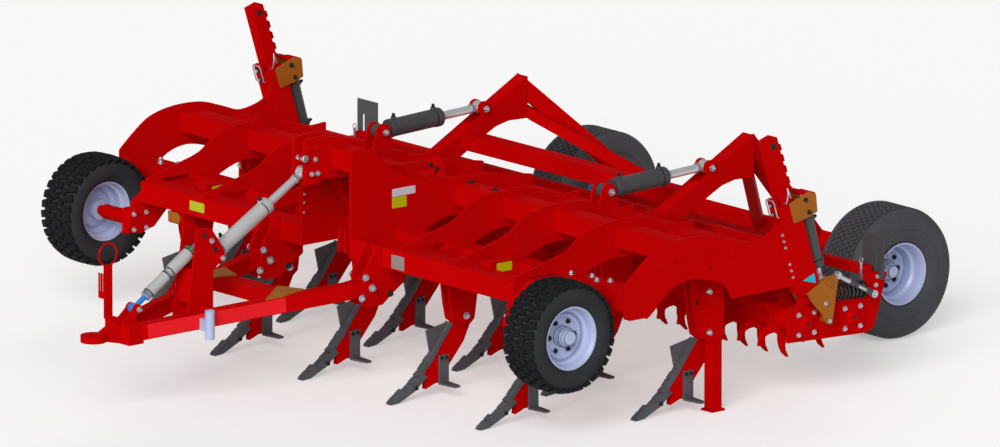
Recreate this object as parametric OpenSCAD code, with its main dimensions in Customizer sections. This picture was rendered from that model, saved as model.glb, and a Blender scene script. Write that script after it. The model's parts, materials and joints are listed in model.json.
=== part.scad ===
// Trailed subsoiler: two rows of ripping tines under a welded beam frame, a folding drawbar,
// front gauge wheels, a double spiked roller and a hydraulic rear wheel frame.
// Millimetres. +X is the machine's left, -Y the way it is pulled, +Z up, ground at Z 0.

/* [Tines] */
// Distance between neighbouring tines of one row
tine_pitch = 900; // [820:10:1000]
// Distance from the front row's tips to the rear row's tips
row_gap = 926; // [900:1:960]
// Thickness of a tine's shank
shank_t = 40; // [30:1:50]
// Thickness of each bracket cheek beside a shank
cheek_t = 25; // [15:1:30]
// Width of the chisel point and the shin bar
point_w = 60; // [45:1:75]
// Sideways reach of a wing from the shank
wing_reach = 150; // [90:5:180]
// Thickness of the wing and fin plates
wing_t = 12; // [8:1:16]

/* [Frame] */
// Side of the square box beams
beam = 140; // [120:1:145]
// Thickness of the frame's upright plates
plate_t = 20; // [12:1:25]
// Half the spacing of the tower's two plates
tower_x = 250; // [200:5:300]
// Half the spacing of the drawbar's pivot lugs
lug_x = 520; // [480:5:560]

/* [Drawbar] */
// Radius of the bore in the hitch eye
eye_bore_r = 25; // [20:0.5:30]
// Outer radius of the hitch eye
eye_r = 85; // [70:1:95]
// Height of the hitch eye's ring
eye_h = 45; // [35:1:55]
// Depth of a drawbar arm
arm_h = 105; // [90:1:115]
// Width of a drawbar arm
arm_w = 80; // [60:1:90]
// Outer radius of the jack socket
socket_r = 32; // [28:0.5:36]
// Radius of the jack socket's bore
socket_bore_r = 25; // [20:0.5:26]

/* [Cylinders] */
// Radius of the drawbar cylinder's barrel
draw_r = 50; // [42:1:56]
// Radius of the drawbar cylinder's rod
draw_rod_r = 26; // [20:1:30]
// Radius of a lift cylinder's barrel
lift_r = 60; // [50:1:64]
// Radius of a lift cylinder's rod
lift_rod_r = 28; // [22:1:32]
// Radius of a depth cylinder's barrel
depth_r = 44; // [38:1:48]
// Radius of a depth cylinder's rod
depth_rod_r = 20; // [15:1:24]

/* [Wheels] */
// Outer radius of a gauge wheel's tyre
gauge_r = 370; // [345:1:380]
// Width of a gauge wheel's tyre
gauge_w = 290; // [240:1:300]
// Outer radius of a rear wheel's tyre
rear_r = 437.5; // [430:0.5:445]
// Width of a rear wheel's tyre
rear_w = 400; // [340:1:420]
// Radius of the rims at the tyre bead
rim_r = 197; // [185:1:205]
// Radius of the wheel axles in their hubs
axle_r = 32; // [26:1:36]

/* [Rollers] */
// Radius at the claws' tips
claw_r = 270; // [250:1:280]
// Radius of a roller's tube
roller_r = 84; // [70:1:90]
// Distance between neighbouring claw rings of one roller
claw_pitch = 200; // [180:5:220]
// Thickness of a claw ring
claw_t = 25; // [15:1:30]
// Number of claws on a ring
claws = 6; // [5:1:7]

/* [Stands] */
// Side of the parking stands' square tube
stand_w = 80; // [60:1:85]
// Height of a stand's tube above the ground
stand_top = 900; // [820:10:930]

/* [Hidden] */
$fn = 48;
// Radial play of turning and sliding fits
play = 0.3;
// Side gap between parts that swing past each other
gap = 6;

// Across the machine
end_x = 2.844 * tine_pitch;
front_end_x = 2.111 * tine_pitch;
arch_x = [0.822 * tine_pitch, 1.411 * tine_pitch, 2.078 * tine_pitch];
front_x = [for (i = [-2 : 2]) i * tine_pitch];
rear_x = [for (i = [-2.5 : 2.5]) i * tine_pitch];
post_w = 92;
sleeve_w = 140;
post_x = end_x + plate_t / 2 + 37;
lift_x = 1145;
stand_gap = 24.6;
stand_x = rear_x[5] + shank_t / 2 + cheek_t + stand_gap + stand_w / 2;
gauge_inset = 200;
gauge_x = end_x - gauge_inset;
rear_wheel_x = 1475;

// Along and up: beams as [front face, top]
front_beams = [[217, 960], [600, 960]];
rear_beams = [[row_gap + 174, 1190], [row_gap + 634, 1110]];

// Pivots and pins as [along, up]
hitch = [-1715, 540];
arm_pin = [115, 704];
mast_pin = [-728, 942];
tower_pin = [32, 1382];
link_front = [-1382, 689];
link_rear = [-805, 1064];
gauge_axle = [210, 695];
lift_base = [row_gap + 691, 1225];
lift_pin = [row_gap + 1124, 950];
lift_rod_pin = [row_gap + 1555, 1260];
rear_axle = [row_gap + 2824, rear_r];
roller_pin = [row_gap + 1160, 703];
roller_1 = [row_gap + 1149, 536];
roller_2 = [row_gap + 1544, 520];
depth_base = [row_gap + 1136, 1325];
depth_rod_pin = [row_gap + 1284, 796];
post_foot = [row_gap + 1186, 670];
post_lean = 17.6;

pin_r = 25;
leg_w = 110;
eye_w = 60;
side_t = 20;
stand_y = row_gap + 545;

// Edge of an end plate at height z, a weld's fit-up off the front of the leaning post sleeve
weld_gap = 0.05;
function sleeve_front(z) = post_foot[0] - (z - post_foot[1]) * tan(post_lean)
    - sleeve_w / 2 / cos(post_lean) - weld_gap;

// Puts the middle of the machine's length at Y 0
mid_y = (rear_axle[0] + rear_r + hitch[0] - eye_r) / 2;

module placed() {
    translate([0, -mid_y, 0])
        children();
}

// Extrudes a side view, drawn as (along, up), across the machine about x
module plate(x, t) {
    translate([x - t / 2, 0, 0])
        rotate([90, 0, 90])
            linear_extrude(t)
                children();
}

// A round bar across the machine, centred on x
module cross_rod(x, p, r, w) {
    translate([x - w / 2, p[0], p[1]])
        rotate([0, 90, 0])
            cylinder(r = r, h = w);
}

// A flowing line through the points p, for the plates' cut edges
function flow(a, b, c, d, t) = (2 * b + (c - a) * t + (2 * a - 5 * b + 4 * c - d) * t * t
    + (3 * b - a - 3 * c + d) * t * t * t) / 2;
function curve(p, n = 5) = concat([for (i = [0 : len(p) - 2], k = [0 : n - 1])
    flow(p[max(i - 1, 0)], p[i], p[i + 1], p[min(i + 2, len(p) - 1)], k / n)], [p[len(p) - 1]]);

// Sets its children's Z along the line from p to q, both as (along, up)
module aimed(x, p, q) {
    translate([x, p[0], p[1]])
        rotate([atan2(p[0] - q[0], q[1] - p[1]), 0, 0])
            children();
}

// A box bar between two points, w wide across and h deep
module bar(p, q, w, h) {
    d = q - p;
    l = norm(d);
    translate(p)
        rotate([0, acos(d[2] / l), atan2(d[1], d[0])])
            translate([0, 0, l / 2])
                cube([h, w, l], center = true);
}

module beam_box(b, half) {
    translate([-half, b[0], b[1] - beam])
        cube([2 * half, beam, beam]);
}

module beams() {
    b = front_beams[0];
    tower_side = tower_x + plate_t / 2;
    color("firebrick") {
        for (s = [0, 1])
            mirror([s, 0, 0])
                translate([tower_side, b[0], b[1] - beam])
                    cube([front_end_x - tower_side, beam, beam]);
        beam_box(front_beams[1], end_x);
        beam_box(rear_beams[0], end_x);
        beam_box(rear_beams[1], end_x);
    }
}

module rear_beam_holes() {
    for (b = rear_beams)
        translate([b[0], b[1] - beam])
            square(beam);
}

// Full-depth plates that the front beam's two halves end on
module tower_plates() {
    front = front_beams[0][0];
    low = front_beams[0][1] - beam;
    back = front_beams[1][0] + beam;
    color("firebrick")
        for (s = [-1, 1])
            plate(s * tower_x, plate_t)
                difference() {
                    polygon(concat([[front, low], [front + 8, 1500]],
                        curve([[262, 1540], [416, 1500], [553, 1378], [697, 1296], [842, 1252],
                            [row_gap + 134, 1240], [row_gap + 500, 1215], [row_gap + 834, 1160]]),
                        [[row_gap + 834, 930]],
                        curve([[row_gap + 520, 930], [row_gap + 450, 960], [row_gap + 120, 985],
                            [back + 60, 900], [back, 860]]),
                        [[back, low]]));
                    translate([front_beams[1][0], low])
                        square(beam);
                    rear_beam_holes();
                }
}

// Cross beam between the tower plates, with the drawbar cylinder's clevis, its pin stubs
// and two raked braces down to the second beam
module tower_front() {
    inner = tower_x - plate_t / 2;
    foot = front_beams[1];
    p = tower_pin;
    f = front_beams[0][0] + 9;
    low = 1387;
    color("firebrick")
        union() {
            translate([-inner, f, low])
                cube([2 * inner, beam, beam]);
            for (s = [-1, 1]) {
                plate(s * 53, 26)
                    polygon([p + [-38, -82], p + [-38, 208], p + [-10, 228], p + [118, 236],
                        [f + beam + 7, 1565], [f + beam + 7, 1315], p + [103, -52], p + [88, -82]]);
                cross_rod(s * 78, p, 24, 26);
                plate(s * (inner - 50), 60)
                    polygon([[f + beam - 24, low + 10], [f + beam - 4, low + 10], [foot[0] + 56, foot[1]],
                        [foot[0] + 4, foot[1]], [f + beam - 24, low - 30]]);
            }
        }
}

module arch_plates() {
    top = front_beams[0][1];
    back = front_beams[1][0] + beam;
    color("firebrick")
        for (s = [-1, 1], x = arch_x)
            plate(s * x, plate_t)
                difference() {
                    polygon(concat([[243, top]],
                        curve([[243, 980], [530, 1048], [692, 1095], [839, 1190], [row_gap + 114, 1230],
                            [row_gap + 344, 1228], [row_gap + 524, 1182], [row_gap + 674, 1136],
                            [row_gap + 834, 1140]]),
                        [[row_gap + 834, 930]],
                        curve([[row_gap + 520, 930], [row_gap + 450, 960], [row_gap + 120, 985],
                            [back + 60, 900], [back, 860]]),
                        [[back, top]]));
                    rear_beam_holes();
                }
}

module end_plates() {
    g = row_gap;
    color("firebrick")
        for (s = [-1, 1])
            plate(s * (end_x + plate_t / 2), plate_t)
                polygon(concat([[580, 780]],
                    curve([[580, 1000], [700, 1100], [840, 1190], [g + 114, 1233], [g + 344, 1228],
                        [g + 524, 1176], [g + 674, 1127], [g + 824, 1148], [g + 890, 1178],
                        [sleeve_front(1205), 1205]]),
                    [[sleeve_front(786), 786], [g + 914, 786]],
                    curve([[g + 562, 782], [g + 520, 850], [g + 463, 897], [g + 237, 958], [g + 52, 924],
                        [837, 811], [780, 765]]),
                    [[620, 765]]));
}

// Twin lugs under the front beam with the drawbar arms' pivot pins
module drawbar_lugs() {
    b = front_beams[0];
    low = b[1] - beam;
    color("firebrick")
        for (s = [-1, 1])
            union() {
                for (k = [-1, 1])
                    plate(s * lug_x + k * (arm_w / 2 + gap + plate_t / 2), plate_t)
                        polygon([[50, 600], [90, 575], [215, 575], [300, 640], [405, 707], [405, low],
                            [b[0], low], [b[0], b[1] + 15], [180, b[1] + 15], [60, 800]]);
                cross_rod(s * lug_x, arm_pin, pin_r, arm_w + 2 * gap + 2 * plate_t + 30);
            }
}

module cheeks(xs, y, profile) {
    for (x = xs, s = [-1, 1])
        translate([0, y, 0])
            plate(x + s * (shank_t + cheek_t) / 2, cheek_t)
                polygon(profile);
}

module front_brackets() {
    a = front_beams[0];
    b = front_beams[1];
    low = b[1] - beam;
    color("firebrick")
        cheeks(front_x, 0, [[a[0] + beam, 945], [b[0], 945], [b[0], low], [b[0] + 105, low], [715, 640],
            [690, 480], [655, 450], [570, 450], [515, 490], [490, 600], [470, 760], [a[0] + beam, 800]]);
}

module rear_brackets() {
    a = rear_beams[0] - [row_gap, 0];
    b = rear_beams[1] - [row_gap, 0];
    low = b[1] - beam;
    color("firebrick")
        cheeks(rear_x, row_gap, [[a[0] + beam, 1150], [b[0], 1095], [b[0], low], [715, low], [720, 640],
            [690, 480], [655, 450], [570, 450], [515, 490], [490, 600], [450, 900], [a[0] + beam, 1060]]);
}

// Front edge of the shin bar and the shift to its back edge, which the shank follows
shin_front = [[258, 182], [343, 273], [414, 369], [502, 477]];
shin_back = [22, -18];

module shank(x, y, top) {
    b = [for (p = shin_front) p + shin_back];
    color("firebrick")
        translate([0, y, 0])
            plate(x, shank_t)
                polygon([b[0], b[1], b[2], b[3], [546, 560], [540, top], [690, top], [700, 560], [685, 470],
                    [620, 337], [500, 200], [402, 97], [300, 60], b[0] + 1.2 * shin_back]);
}

module shanks() {
    for (x = front_x)
        shank(x, 0, front_beams[1][1] - beam - 5);
    for (x = rear_x)
        shank(x, row_gap, rear_beams[1][1] - beam - 5);
}

// Repeats its children at every tine, with the tip at the origin
module at_tines() {
    for (x = front_x)
        translate([x, 0, 0])
            children();
    for (x = rear_x)
        translate([x, row_gap, 0])
            children();
}

module points() {
    color("dimgray")
        at_tines()
            plate(0, point_w)
                polygon([[0, 0], [70, 6], [200, 62], shin_front[0] + 2.2 * shin_back, shin_front[0],
                    [228, 160],
                    [236, 148], [124, 72], [116, 84]]);
}

module shins() {
    f = shin_front;
    b = [for (p = f) p + shin_back];
    color("dimgray")
        at_tines() {
            plate(0, point_w - 10)
                polygon([f[0], f[1], f[2], f[3], b[3], b[2], b[1], b[0]]);
            plate(0, wing_t)
                polygon([[350, 283], [315, 444], f[3], f[3] + shin_back / 2, f[2] + shin_back / 2]);
        }
}

module wings() {
    color("dimgray")
        at_tines()
            for (s = [-1, 1]) {
                plate(s * (shank_t + wing_t) / 2, wing_t)
                    polygon([[405, 90], [485, 90], [485, 270], [405, 270]]);
                translate([0, 0, 76])
                    linear_extrude(14)
                        polygon([[s * shank_t / 2, 405], [s * (shank_t / 2 + wing_reach), 425],
                            [s * (shank_t / 2 + wing_reach), 465], [s * shank_t / 2, 485]]);
            }
}

// Twin lugs on the rear beam with the lift cylinder's base pin
module lift_lugs() {
    b = rear_beams[1];
    color("firebrick")
        for (s = [-1, 1])
            union() {
                for (k = [-1, 1])
                    plate(s * lift_x + k * (eye_w / 2 + gap + plate_t / 2), plate_t)
                        union() {
                            translate(lift_base)
                                circle(r = 55);
                            polygon([[b[0] - 40, b[1]], [b[0] + beam, b[1]], lift_base + [54, 10],
                                lift_base + [-54, 10]]);
                        }
                cross_rod(s * lift_x, lift_base, pin_r, eye_w + 2 * gap + 2 * plate_t + 40);
            }
}

// Twin brackets behind the rear beam with the lift frame's pivot pin
module lift_pivots() {
    back = rear_beams[1][0] + beam;
    low = rear_beams[1][1] - beam;
    color("firebrick")
        for (s = [-1, 1])
            union() {
                for (k = [-1, 1])
                    plate(s * lift_x + k * (leg_w / 2 + gap + plate_t / 2), plate_t)
                        union() {
                            translate(lift_pin)
                                circle(r = 70);
                            polygon([[back, low], [back, low + beam], lift_pin + [10, 69],
                                lift_pin + [-10, -69]]);
                        }
                cross_rod(s * lift_x, lift_pin, 30, leg_w + 2 * gap + 2 * plate_t + 30);
            }
}

// Arm at the front beam's end with the gauge wheel's axle
module gauge_arms() {
    b = front_beams[0];
    color("firebrick")
        for (s = [-1, 1])
            union() {
                plate(s * (front_end_x + 20), 40)
                    union() {
                        translate(gauge_axle)
                            circle(r = 85);
                        polygon([[b[0] - 60, b[1] - beam], [b[0] + beam, b[1]], [600, b[1]], [600, 900],
                            [330, 640], [200, 612]]);
                    }
                plate(s * (front_end_x + 62), 44)
                    translate(gauge_axle)
                        square(170, center = true);
                cross_rod(s * (front_end_x + gauge_x - 100) / 2, gauge_axle, 48,
                    gauge_x - 100 - front_end_x);
                cross_rod(s * (gauge_x - 50), gauge_axle, axle_r, 220);
            }
}

// Leaning sleeve with a pin block at its top and the roller frame's pivot ears at its foot
module post_sleeves() {
    p = roller_pin;
    color("firebrick")
        for (s = [-1, 1])
            union() {
                translate([s * post_x, post_foot[0], post_foot[1]])
                    rotate([post_lean, 0, 0]) {
                        difference() {
                            translate([-sleeve_w / 2, -sleeve_w / 2, 90])
                                cube([sleeve_w, sleeve_w, 634]);
                            translate([-post_w / 2, -post_w / 2, 89])
                                cube([post_w, post_w, 636]);
                        }
                        translate([-34, -sleeve_w / 2 - 28, 660])
                            cube([68, 29, 130]);
                    }
                for (k = [-1, 1])
                    plate(s * post_x + k * (side_t / 2 + gap + 9), 14)
                        union() {
                            translate(p)
                                circle(r = 46);
                            polygon([p + [-46, 0], p + [46, 0], p + [56, 75], p + [-20, 135],
                                p + [-80, 100]]);
                        }
                cross_rod(s * post_x, p, pin_r, side_t + 2 * gap + 60);
            }
}

// Posts in the sleeves, each with a slotted rack behind
module posts() {
    color("firebrick")
        for (s = [-1, 1])
            translate([s * post_x, post_foot[0], post_foot[1]])
                rotate([post_lean, 0, 0])
                    union() {
                        translate([-post_w / 2, -post_w / 2, 300])
                            cube([post_w, post_w, 886]);
                        difference() {
                            translate([-9, post_w / 2 - 1, 770])
                                cube([18, 42, 340]);
                            for (i = [0 : 3])
                                translate([-20, post_w / 2 + 16, 795 + i * 80])
                                    cube([40, 40, 34]);
                        }
                    }
}

// Brackets at the sleeves' tops with the depth cylinders' upper pins
module post_heads() {
    g = row_gap;
    half = eye_w / 2 + gap;
    color("darkgoldenrod")
        for (s = [-1, 1])
            union() {
                for (k = [-1, 1]) {
                    plate(s * post_x + k * (sleeve_w / 2 + 6), 12)
                        polygon([[g + 951, 1367], [g + 1114, 1424], [g + 1174, 1405], [g + 1186, 1285],
                            [g + 1130, 1262], [g + 994, 1233]]);
                    cross_rod(s * post_x + k * (half + sleeve_w / 2) / 2, depth_base, 36,
                        sleeve_w / 2 - half);
                }
                cross_rod(s * post_x, depth_base, pin_r, sleeve_w + 24);
            }
}

module stand_holders() {
    wall = 10;
    inner = rear_x[5] + shank_t / 2 + cheek_t;
    outer = stand_x + stand_w / 2 + wall;
    color("firebrick")
        for (s = [-1, 1])
            difference() {
                translate([s > 0 ? inner : -outer, stand_y - wall, 470])
                    cube([outer - inner, stand_w + 2 * wall, 400]);
                translate([s * stand_x - stand_w / 2 - play, stand_y - play, 460])
                    cube([stand_w + 2 * play, stand_w + 2 * play, 420]);
            }
}

module stand(s) {
    color("firebrick")
        union() {
            translate([s * stand_x - stand_w / 2, stand_y, 0])
                cube([stand_w, stand_w, stand_top]);
            translate([s * stand_x - stand_w / 2 - 15, stand_y - 15, 0])
                cube([stand_w + 30, stand_w + 30, 14]);
        }
}

module stand_l() {
    stand(1);
}

module stand_r() {
    stand(-1);
}

// Drawbar: two arms meet at the hitch head
head_back = -1400;
head_x = 125;
arm_front_x = 75;

arm_knee = -135;
arm_rise = (arm_pin[1] - hitch[1] - 10) / (arm_pin[0] - head_back + 40);

function arm_z(y) = arm_pin[1] - (arm_pin[0] - y) * arm_rise;

arm_front = (head_back - 40 - arm_pin[0]) * sqrt(1 + arm_rise * arm_rise);

// Inner edge of an arm's slanting part, at y along the arms' own plane
function arm_in(y) = arm_front_x - arm_w / 2
    + (lug_x - arm_front_x) * (y - arm_front) / (arm_knee - arm_front);

// Sets its children in the arms' rising plane, from the pivot pin
module arm_plane() {
    translate([0, arm_pin[0], arm_pin[1]])
        rotate([atan(arm_rise), 0, 0])
            children();
}

// One arm: straight through its lugs, then slanting in to the hitch head
module arm_line(s) {
    x = lug_x;
    h = arm_w / 2;
    arm_plane()
        translate([0, 0, -arm_h / 2])
            linear_extrude(arm_h)
                polygon([[s * (x - h), 0], [s * (x + h), 0], [s * (x + h), arm_knee],
                    [s * (arm_front_x + h), arm_front], [s * (arm_front_x - h), arm_front],
                    [s * (x - h), arm_knee]]);
}

module head_block() {
    translate([-head_x, head_back - 120, hitch[1] - 60])
        cube([2 * head_x, 120, 135]);
}

module drawbar_arms() {
    color("firebrick")
        for (s = [-1, 1])
            difference() {
                union() {
                    arm_line(s);
                    cross_rod(s * lug_x, arm_pin, 68, arm_w - 6);
                }
                cross_rod(s * lug_x, arm_pin, pin_r + play, arm_w + 2);
                head_block();
            }
}

module hitch_head() {
    color("firebrick")
        difference() {
            union() {
                head_block();
                translate([0, hitch[0], hitch[1] - eye_h / 2])
                    cylinder(r = eye_r, h = eye_h);
                plate(0, 96)
                    polygon([[hitch[0] + 50, hitch[1] - eye_h / 2], [head_back - 119, hitch[1] - 58],
                        [head_back - 119, hitch[1] + 72], [head_back - 140, hitch[1] + 72],
                        [hitch[0] + 76, hitch[1] + eye_h / 2], [hitch[0] + 50, hitch[1] + eye_h / 2]]);
                for (k = [-1, 1])
                    plate(k * 34, 14)
                        union() {
                            translate(link_front)
                                circle(r = 34);
                            polygon([[head_back - 110, hitch[1] + 74], [head_back - 10, hitch[1] + 74],
                                link_front + [33, 8], link_front + [-33, 8]]);
                        }
                cross_rod(0, link_front, 16, 110);
            }
            translate([0, hitch[0], hitch[1] - eye_h])
                cylinder(r = eye_bore_r, h = 2 * eye_h);
        }
}

// The cross tube's front and back edges in the arms' plane
tube_front = -575;
tube_back = -465;
mast_y = -865;

module drawbar_tubes() {
    a = arm_in(tube_front);
    b = arm_in(tube_back);
    color("firebrick") {
        arm_plane()
            translate([0, 0, arm_h / 2 - 95])
                linear_extrude(95)
                    polygon([[-a, tube_front], [a, tube_front], [b, tube_back], [-b, tube_back]]);
        difference() {
            cross_rod(0, [mast_y, 600], 44, 560);
            for (s = [-1, 1])
                arm_line(s);
            for (s = [-1, 1])
                translate([s * 400 - 200 + s * 40, mast_y - 60, 500])
                    cube([400, 120, 200]);
        }
    }
}

// Corner plates lying over the cross tube and the arms
module drawbar_gussets() {
    out = arm_w - 5;
    color("darkgoldenrod")
        for (s = [-1, 1])
            arm_plane()
                translate([0, 0, arm_h / 2])
                    linear_extrude(10)
                        polygon([[s * (arm_in(tube_back) - 170), tube_back],
                            [s * (arm_in(tube_back + 60) + 10), tube_back + 60],
                            [s * (arm_in(tube_front - 20) + out), tube_front - 20],
                            [s * (arm_in(tube_front - 130) + out), tube_front - 130]]);
}

// Twin mast plates on the pivot tube, closed at the front
module mast() {
    low = [-1000, 560];
    high = [-912, 1155];
    lean = (high[0] - low[0]) / (high[1] - low[1]);
    color("firebrick")
        difference() {
            union() {
                for (k = [-1, 1])
                    plate(k * 70, 20)
                        union() {
                            translate(mast_pin)
                                circle(r = 45);
                            polygon([low, [-787, 560], [-784, 861], [-707, 929], [-690, 974], [-741, 1062],
                                [-801, 1145], high]);
                        }
                plate(0, 121)
                    polygon([[low[0] + 110 * lean, 670], [low[0] + 110 * lean + 16, 670],
                        [low[0] + 330 * lean + 16, 890], [low[0] + 330 * lean, 890]]);
                cross_rod(0, mast_pin, pin_r, 220);
                cross_rod(0, link_rear, 16, 180);
            }
            cross_rod(0, [mast_y, 600], 44, 400);
        }
}

link_l = norm(link_rear - link_front);

// Two turned sleeves on a thinner screw
module top_link() {
    half = link_l / 2;
    color("silver")
        aimed(0, link_front, link_rear)
            union() {
                translate([0, 0, 110])
                    cylinder(r = 26, h = link_l - 220);
                translate([0, 0, 150])
                    cylinder(r = 37, h = half - 175);
                translate([0, 0, half + 15])
                    cylinder(r = 42, h = half - 155);
            }
}

module link_ends() {
    color("royalblue")
        aimed(0, link_front, link_rear)
            for (k = [0, 1])
                difference() {
                    union() {
                        translate([0, 0, k * link_l])
                            rotate([0, 90, 0])
                                translate([0, 0, -22])
                                    cylinder(r = 32, h = 44);
                        translate([0, 0, k * (link_l - 110)])
                            cylinder(r = 18, h = 110);
                    }
                    translate([0, 0, k * link_l])
                        rotate([0, 90, 0])
                            translate([0, 0, -30])
                                cylinder(r = 16, h = 60);
                }
}

// Upright with a slotted coupler plate and a hose ring, beside the head
module hose_stand() {
    top = hitch[1] + 75;
    x = -head_x - 9;
    y = head_back - 118;
    color("firebrick")
        union() {
            translate([x - 6, y, top])
                cube([12, 65, 350]);
            translate([x - 6, y, top])
                cube([70, 65, 12]);
            difference() {
                translate([x - 90, y + 24, top + 120])
                    cube([86, 8, 165]);
                for (i = [0 : 2])
                    translate([x - 80 + i * 26, y + 20, top + 165])
                        cube([12, 16, 140]);
            }
            translate([x, y + 32, top + 420])
                rotate([0, 90, 0])
                    rotate_extrude()
                        translate([74, 0])
                            circle(r = 6);
        }
}

// Tube for a screw jack, on a plate against the left arm
module jack_socket() {
    y = -995;
    z = arm_z(y) - 20;
    run = arm_pin[0] + arm_knee - head_back + 40;
    x = arm_front_x + (lug_x - arm_front_x) * (y - head_back + 40) / run + arm_w / 2;
    color("lightsteelblue")
        difference() {
            union() {
                translate([x + socket_r + 14, y, z - 95])
                    cylinder(r = socket_r, h = 190);
                translate([x - 30, y - 40, z - 40])
                    cube([64, 80, 80]);
            }
            arm_line(1);
            translate([x + socket_r + 14, y, z - 105])
                cylinder(r = socket_bore_r, h = 210);
        }
}

// A cylinder's barrel from its base eye, bored for the rod
module barrel(x, p, q, r, l, rod_r, bore) {
    aimed(x, p, q)
        difference() {
            union() {
                rotate([0, 90, 0])
                    translate([0, 0, -eye_w / 2])
                        cylinder(r = pin_r + 20, h = eye_w);
                cylinder(r = r * 0.5, h = 90);
                translate([0, 0, 80])
                    cylinder(r = r, h = l - 80);
            }
            rotate([0, 90, 0])
                translate([0, 0, -eye_w])
                    cylinder(r = pin_r + play, h = 2 * eye_w);
            translate([0, 0, bore])
                cylinder(r = rod_r + play, h = l);
        }
}

// A cylinder's rod with the eye at its far end, from start inside the barrel
module rod(x, p, q, rod_r, start, r) {
    l = norm(q - p);
    aimed(x, p, q)
        union() {
            translate([0, 0, start])
                cylinder(r = rod_r, h = l - start);
            translate([0, 0, l])
                rotate([0, 90, 0])
                    translate([0, 0, -eye_w / 2])
                        cylinder(r = r, h = eye_w);
        }
}

module draw_barrel() {
    color("silver")
        barrel(0, mast_pin, tower_pin, draw_r, 540, draw_rod_r, 95);
}

module draw_rod() {
    color("lightgray")
        rod(0, mast_pin, tower_pin, draw_rod_r, 230, 40);
}

module lift_barrels() {
    color("dimgray")
        for (s = [-1, 1])
            barrel(s * lift_x, lift_base, lift_rod_pin, lift_r, 520, lift_rod_r, 95);
}

module lift_rods() {
    color("gainsboro")
        for (s = [-1, 1])
            rod(s * lift_x, lift_base, lift_rod_pin, lift_rod_r, 200, 42);
}

module depth_barrels() {
    color("dimgray")
        for (s = [-1, 1])
            barrel(s * post_x, depth_base, depth_rod_pin, depth_r, 440, depth_rod_r, 95);
}

module depth_rods() {
    color("gainsboro")
        for (s = [-1, 1])
            rod(s * post_x, depth_base, depth_rod_pin, depth_rod_r, 200, 34);
}

leg_back = lift_pin[0] + 802;

module lift_legs() {
    g = lift_pin[0];
    color("firebrick")
        for (s = [-1, 1])
            difference() {
                union() {
                    plate(s * lift_x, leg_w)
                        difference() {
                            union() {
                                translate(lift_pin)
                                    circle(r = 75);
                                translate(lift_rod_pin)
                                    circle(r = 48);
                                polygon([[g - 20, 885], [g + 80, 885], [g + 423, 1075], [g + 529, 1126],
                                    [g + 635, 1149], [leg_back, 1143], [leg_back, 1425],
                                    [g + 37, 1015], [g - 60, 985]]);
                            }
                            translate(lift_pin)
                                circle(r = 30 + play);
                        }
                    for (k = [-1, 1])
                        cross_rod(s * lift_x + k * (leg_w / 2 + 8), lift_rod_pin, pin_r, 16);
                }
                translate([s * lift_x - eye_w / 2 - 5, g + 315, 1175])
                    cube([eye_w + 10, 190, 300]);
            }
}

// The axle beam's centre, above the wheels' axle, and the side of its square tube
axle_mid = rear_axle + [-30, 80];
axle_w = 125;

// The square axle beam, standing on its corner
module axle_bar(half) {
    translate([-half, axle_mid[0], axle_mid[1]])
        rotate([45, 0, 0])
            translate([0, -axle_w / 2, -axle_w / 2])
                cube([2 * half, axle_w, axle_w]);
}

// Stays and struts from the legs' backs to the axle beam
module lift_stays() {
    m = axle_mid;
    color("firebrick")
        for (s = [-1, 1])
            difference() {
                union() {
                    bar([s * (lift_x + 30), leg_back - 80, 1420], [s * 828, m[0], m[1]], 100, 110);
                    bar([s * (lift_x + 10), leg_back - 30, 1215], [s * 250, m[0], m[1]], 70, 70);
                }
                translate([-2 * lift_x, leg_back - 2 * axle_w, 0])
                    cube([4 * lift_x, 2 * axle_w, 2 * lift_x]);
                axle_bar(lift_x);
            }
}

module lift_tubes() {
    g = lift_pin[0];
    inner = lift_x - leg_w / 2;
    axle_end = rear_wheel_x - rear_w / 2 - 25;
    m = axle_mid;
    a = rear_axle;
    d = axle_w / sqrt(2) + 8;
    stub = rear_wheel_x + 30 - axle_end + 10;
    color("firebrick") {
        translate([-inner, g + 240, 1010])
            cube([2 * inner, 110, 110]);
        union() {
            axle_bar(axle_end - 10);
            for (s = [-1, 1]) {
                plate(s * (axle_end - 10), 20)
                    polygon([m + [-d, 0], m + [0, d], m + [d, 0], a + [70, 0], a + [0, -70], a + [-70, 0]]);
                cross_rod(s * (axle_end - 10 + stub / 2), a, axle_r, stub);
            }
        }
    }
}

// Tyre and rim profiles turn about X, drawn as (radius, across)
module wheel_at(x, p) {
    translate([x, p[0], p[1]])
        rotate([0, 90, 0])
            children();
}

module tyre(r, w) {
    c = w * 0.16;
    rotate_extrude()
        polygon([[rim_r, -w * 0.36], [rim_r + 30, -w * 0.44], [r - c - 40, -w / 2], [r - c, -w / 2 + 4],
            [r - 6, -w / 2 + c], [r, 0], [r - 6, w / 2 - c], [r - c, w / 2 - 4], [r - c - 40, w / 2],
            [rim_r + 30, w * 0.44], [rim_r, w * 0.36]]);
}

// Two staggered rows of tread blocks
module blocks(r, w) {
    n = 20;
    half = 33;
    for (i = [0 : n - 1], k = [0, 1])
        rotate((i + k / 2) * 360 / n)
            translate([r - 50, -half, k > 0 ? 8 : 6 - w / 2])
                cube([sqrt(r * r - half * half) - r + 50, 2 * half, w / 2 - 14]);
}

module rim(w, disc) {
    rotate_extrude()
        difference() {
            union() {
                translate([rim_r - 10, -w * 0.36])
                    square([10, w * 0.72]);
                translate([0, disc])
                    square([rim_r, 14]);
                translate([0, disc - 70])
                    square([70, 150]);
            }
            translate([-1, disc - 71])
                square([axle_r + 0.06 + 1, 130]);
        }
}

module rear_tyre_l() {
    color("dimgray")
        wheel_at(rear_wheel_x, rear_axle)
            tyre(rear_r, rear_w);
}

module rear_rim_l() {
    color("lightsteelblue")
        wheel_at(rear_wheel_x, rear_axle)
            rim(rear_w, 0);
}

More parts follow.
